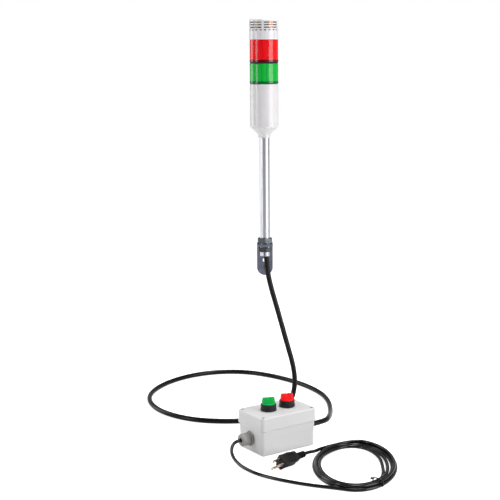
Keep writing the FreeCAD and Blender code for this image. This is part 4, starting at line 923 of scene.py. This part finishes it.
# %% Floor
FLOOR_SIZE = 6.0
FLOOR_SHADE, FLOOR_GLOW, FLOOR_MIRRORED = 0.75, 0.82, 0.1
FLOOR_GAP = 0.4 * MM                   # below the pieces that lie on it
WHITE = (1.0, 1.0, 1.0, 1.0)
floor_mesh = bpy.data.meshes.new("floor")
build = bmesh.new()
bmesh.ops.create_grid(build, x_segments=1, y_segments=1, size=FLOOR_SIZE)
bmesh.ops.translate(build, verts=build.verts, vec=(0.0, 0.0, FLOOR_MM * MM - FLOOR_GAP))
build.to_mesh(floor_mesh)
build.free()
floor = bpy.data.objects.new("floor", floor_mesh)
scene.collection.objects.link(floor)



def ray_kinds(tree_owner):
    """Two outputs: 1 for a ray from the camera or through something clear, 1 for a reflection."""
    rays = add_node(tree_owner, "ShaderNodeLightPath")
    seen = add_node(tree_owner, "ShaderNodeMath", {0: rays.outputs["Is Camera Ray"],
                                                   1: rays.outputs["Is Transmission Ray"]},
                    operation="MAXIMUM")
    return seen.outputs[0], rays.outputs["Is Glossy Ray"]


floor_paint = bpy.data.materials.new("white floor")
floor_paint.use_nodes = True
floor_paint.node_tree.nodes.clear()
seen, glossy = ray_kinds(floor_paint)
mirror = add_node(floor_paint, "ShaderNodeMath", {0: glossy, 1: FLOOR_MIRRORED}, operation="MULTIPLY")
glow = add_node(floor_paint, "ShaderNodeMath", {0: seen, 1: FLOOR_GLOW, 2: mirror.outputs[0]},
                operation="MULTIPLY_ADD")
lit = add_node(floor_paint, "ShaderNodeBsdfDiffuse", {"Color": (FLOOR_SHADE, FLOOR_SHADE, FLOOR_SHADE, 1.0)})
glow = add_node(floor_paint, "ShaderNodeEmission", {"Color": WHITE, "Strength": glow.outputs[0]})
both = add_node(floor_paint, "ShaderNodeAddShader", {0: lit.outputs[0], 1: glow.outputs[0]})
add_node(floor_paint, "ShaderNodeOutputMaterial", {"Surface": both.outputs[0]})
floor_mesh.materials.append(floor_paint)
print("floor at", FLOOR_MM, "mm")

# %% Surrounding
ROOM_LEVEL = 0.27                      # what lights the pieces
MIRRORED_FRONT, MIRRORED_BEHIND = 0.28, 0.32
DARK_TOWARD, DARK_SHARE = (-0.225, -0.974, 0.0), 0.12
world = bpy.data.worlds.new("studio")
scene.world = world
world.use_nodes = True
world.node_tree.nodes.clear()
seen, glossy = ray_kinds(world)
place = add_node(world, "ShaderNodeTexCoord")
facing = add_node(world, "ShaderNodeVectorMath", {0: place.outputs["Generated"], 1: DARK_TOWARD},
                  operation="DOT_PRODUCT")
behind = add_node(world, "ShaderNodeMapRange", {
    "Value": facing.outputs["Value"], "From Min": 0.15, "From Max": -0.25,
    "To Min": MIRRORED_FRONT, "To Max": MIRRORED_BEHIND}, interpolation_type="SMOOTHSTEP")
front = add_node(world, "ShaderNodeMapRange", {
    "Value": facing.outputs["Value"], "From Min": 0.84, "From Max": 0.93,
    "To Min": 1.0, "To Max": DARK_SHARE}, interpolation_type="SMOOTHSTEP")
level = add_node(world, "ShaderNodeMath", {0: behind.outputs[0], 1: front.outputs[0]}, operation="MULTIPLY")
mirrored, room, white = (
    add_node(world, "ShaderNodeBackground", {"Color": WHITE, "Strength": strength}).outputs[0]
    for strength in (level.outputs[0], ROOM_LEVEL, 1.0))
soft = add_node(world, "ShaderNodeMixShader", {0: glossy, 1: room, 2: mirrored})
pick = add_node(world, "ShaderNodeMixShader", {0: seen, 1: soft.outputs[0], 2: white})
add_node(world, "ShaderNodeOutputWorld", {"Surface": pick.outputs[0]})
print("the surrounding lights at", ROOM_LEVEL)

# %% Lamps
def softbox(name, place, aim, size, power):
    """A large rectangular lamp that faces a point, with its size in metres and power in watts."""
    lamp = bpy.data.lights.new(name, "AREA")
    lamp.shape = "RECTANGLE"
    lamp.size, lamp.size_y = size
    lamp.energy = power
    holder = bpy.data.objects.new(name, lamp)
    scene.collection.objects.link(holder)
    toward = Vector(aim) - Vector(place)
    holder.matrix_world = Matrix.Translation(place) @ toward.to_track_quat("-Z", "Y").to_matrix().to_4x4()
    holder.visible_camera = False
    return holder


TOWARD = (0.0, -0.05, 0.05)
softbox("right softbox", (1.6, -1.0, 0.35), TOWARD, (1.2, 1.8), 28.0)
softbox("left softbox", (-1.65, -0.85, 0.2), TOWARD, (0.5, 1.9), 12.0)
softbox("left rim softbox", (-1.6, 0.7, 0.3), TOWARD, (0.9, 1.8), 12.0)
softbox("top softbox", (0.3, 0.1, 1.9), (0.0, -0.1, -0.2), (0.9, 0.9), 28.0)
print("lamps:", [lamp.name for lamp in bpy.data.lights])
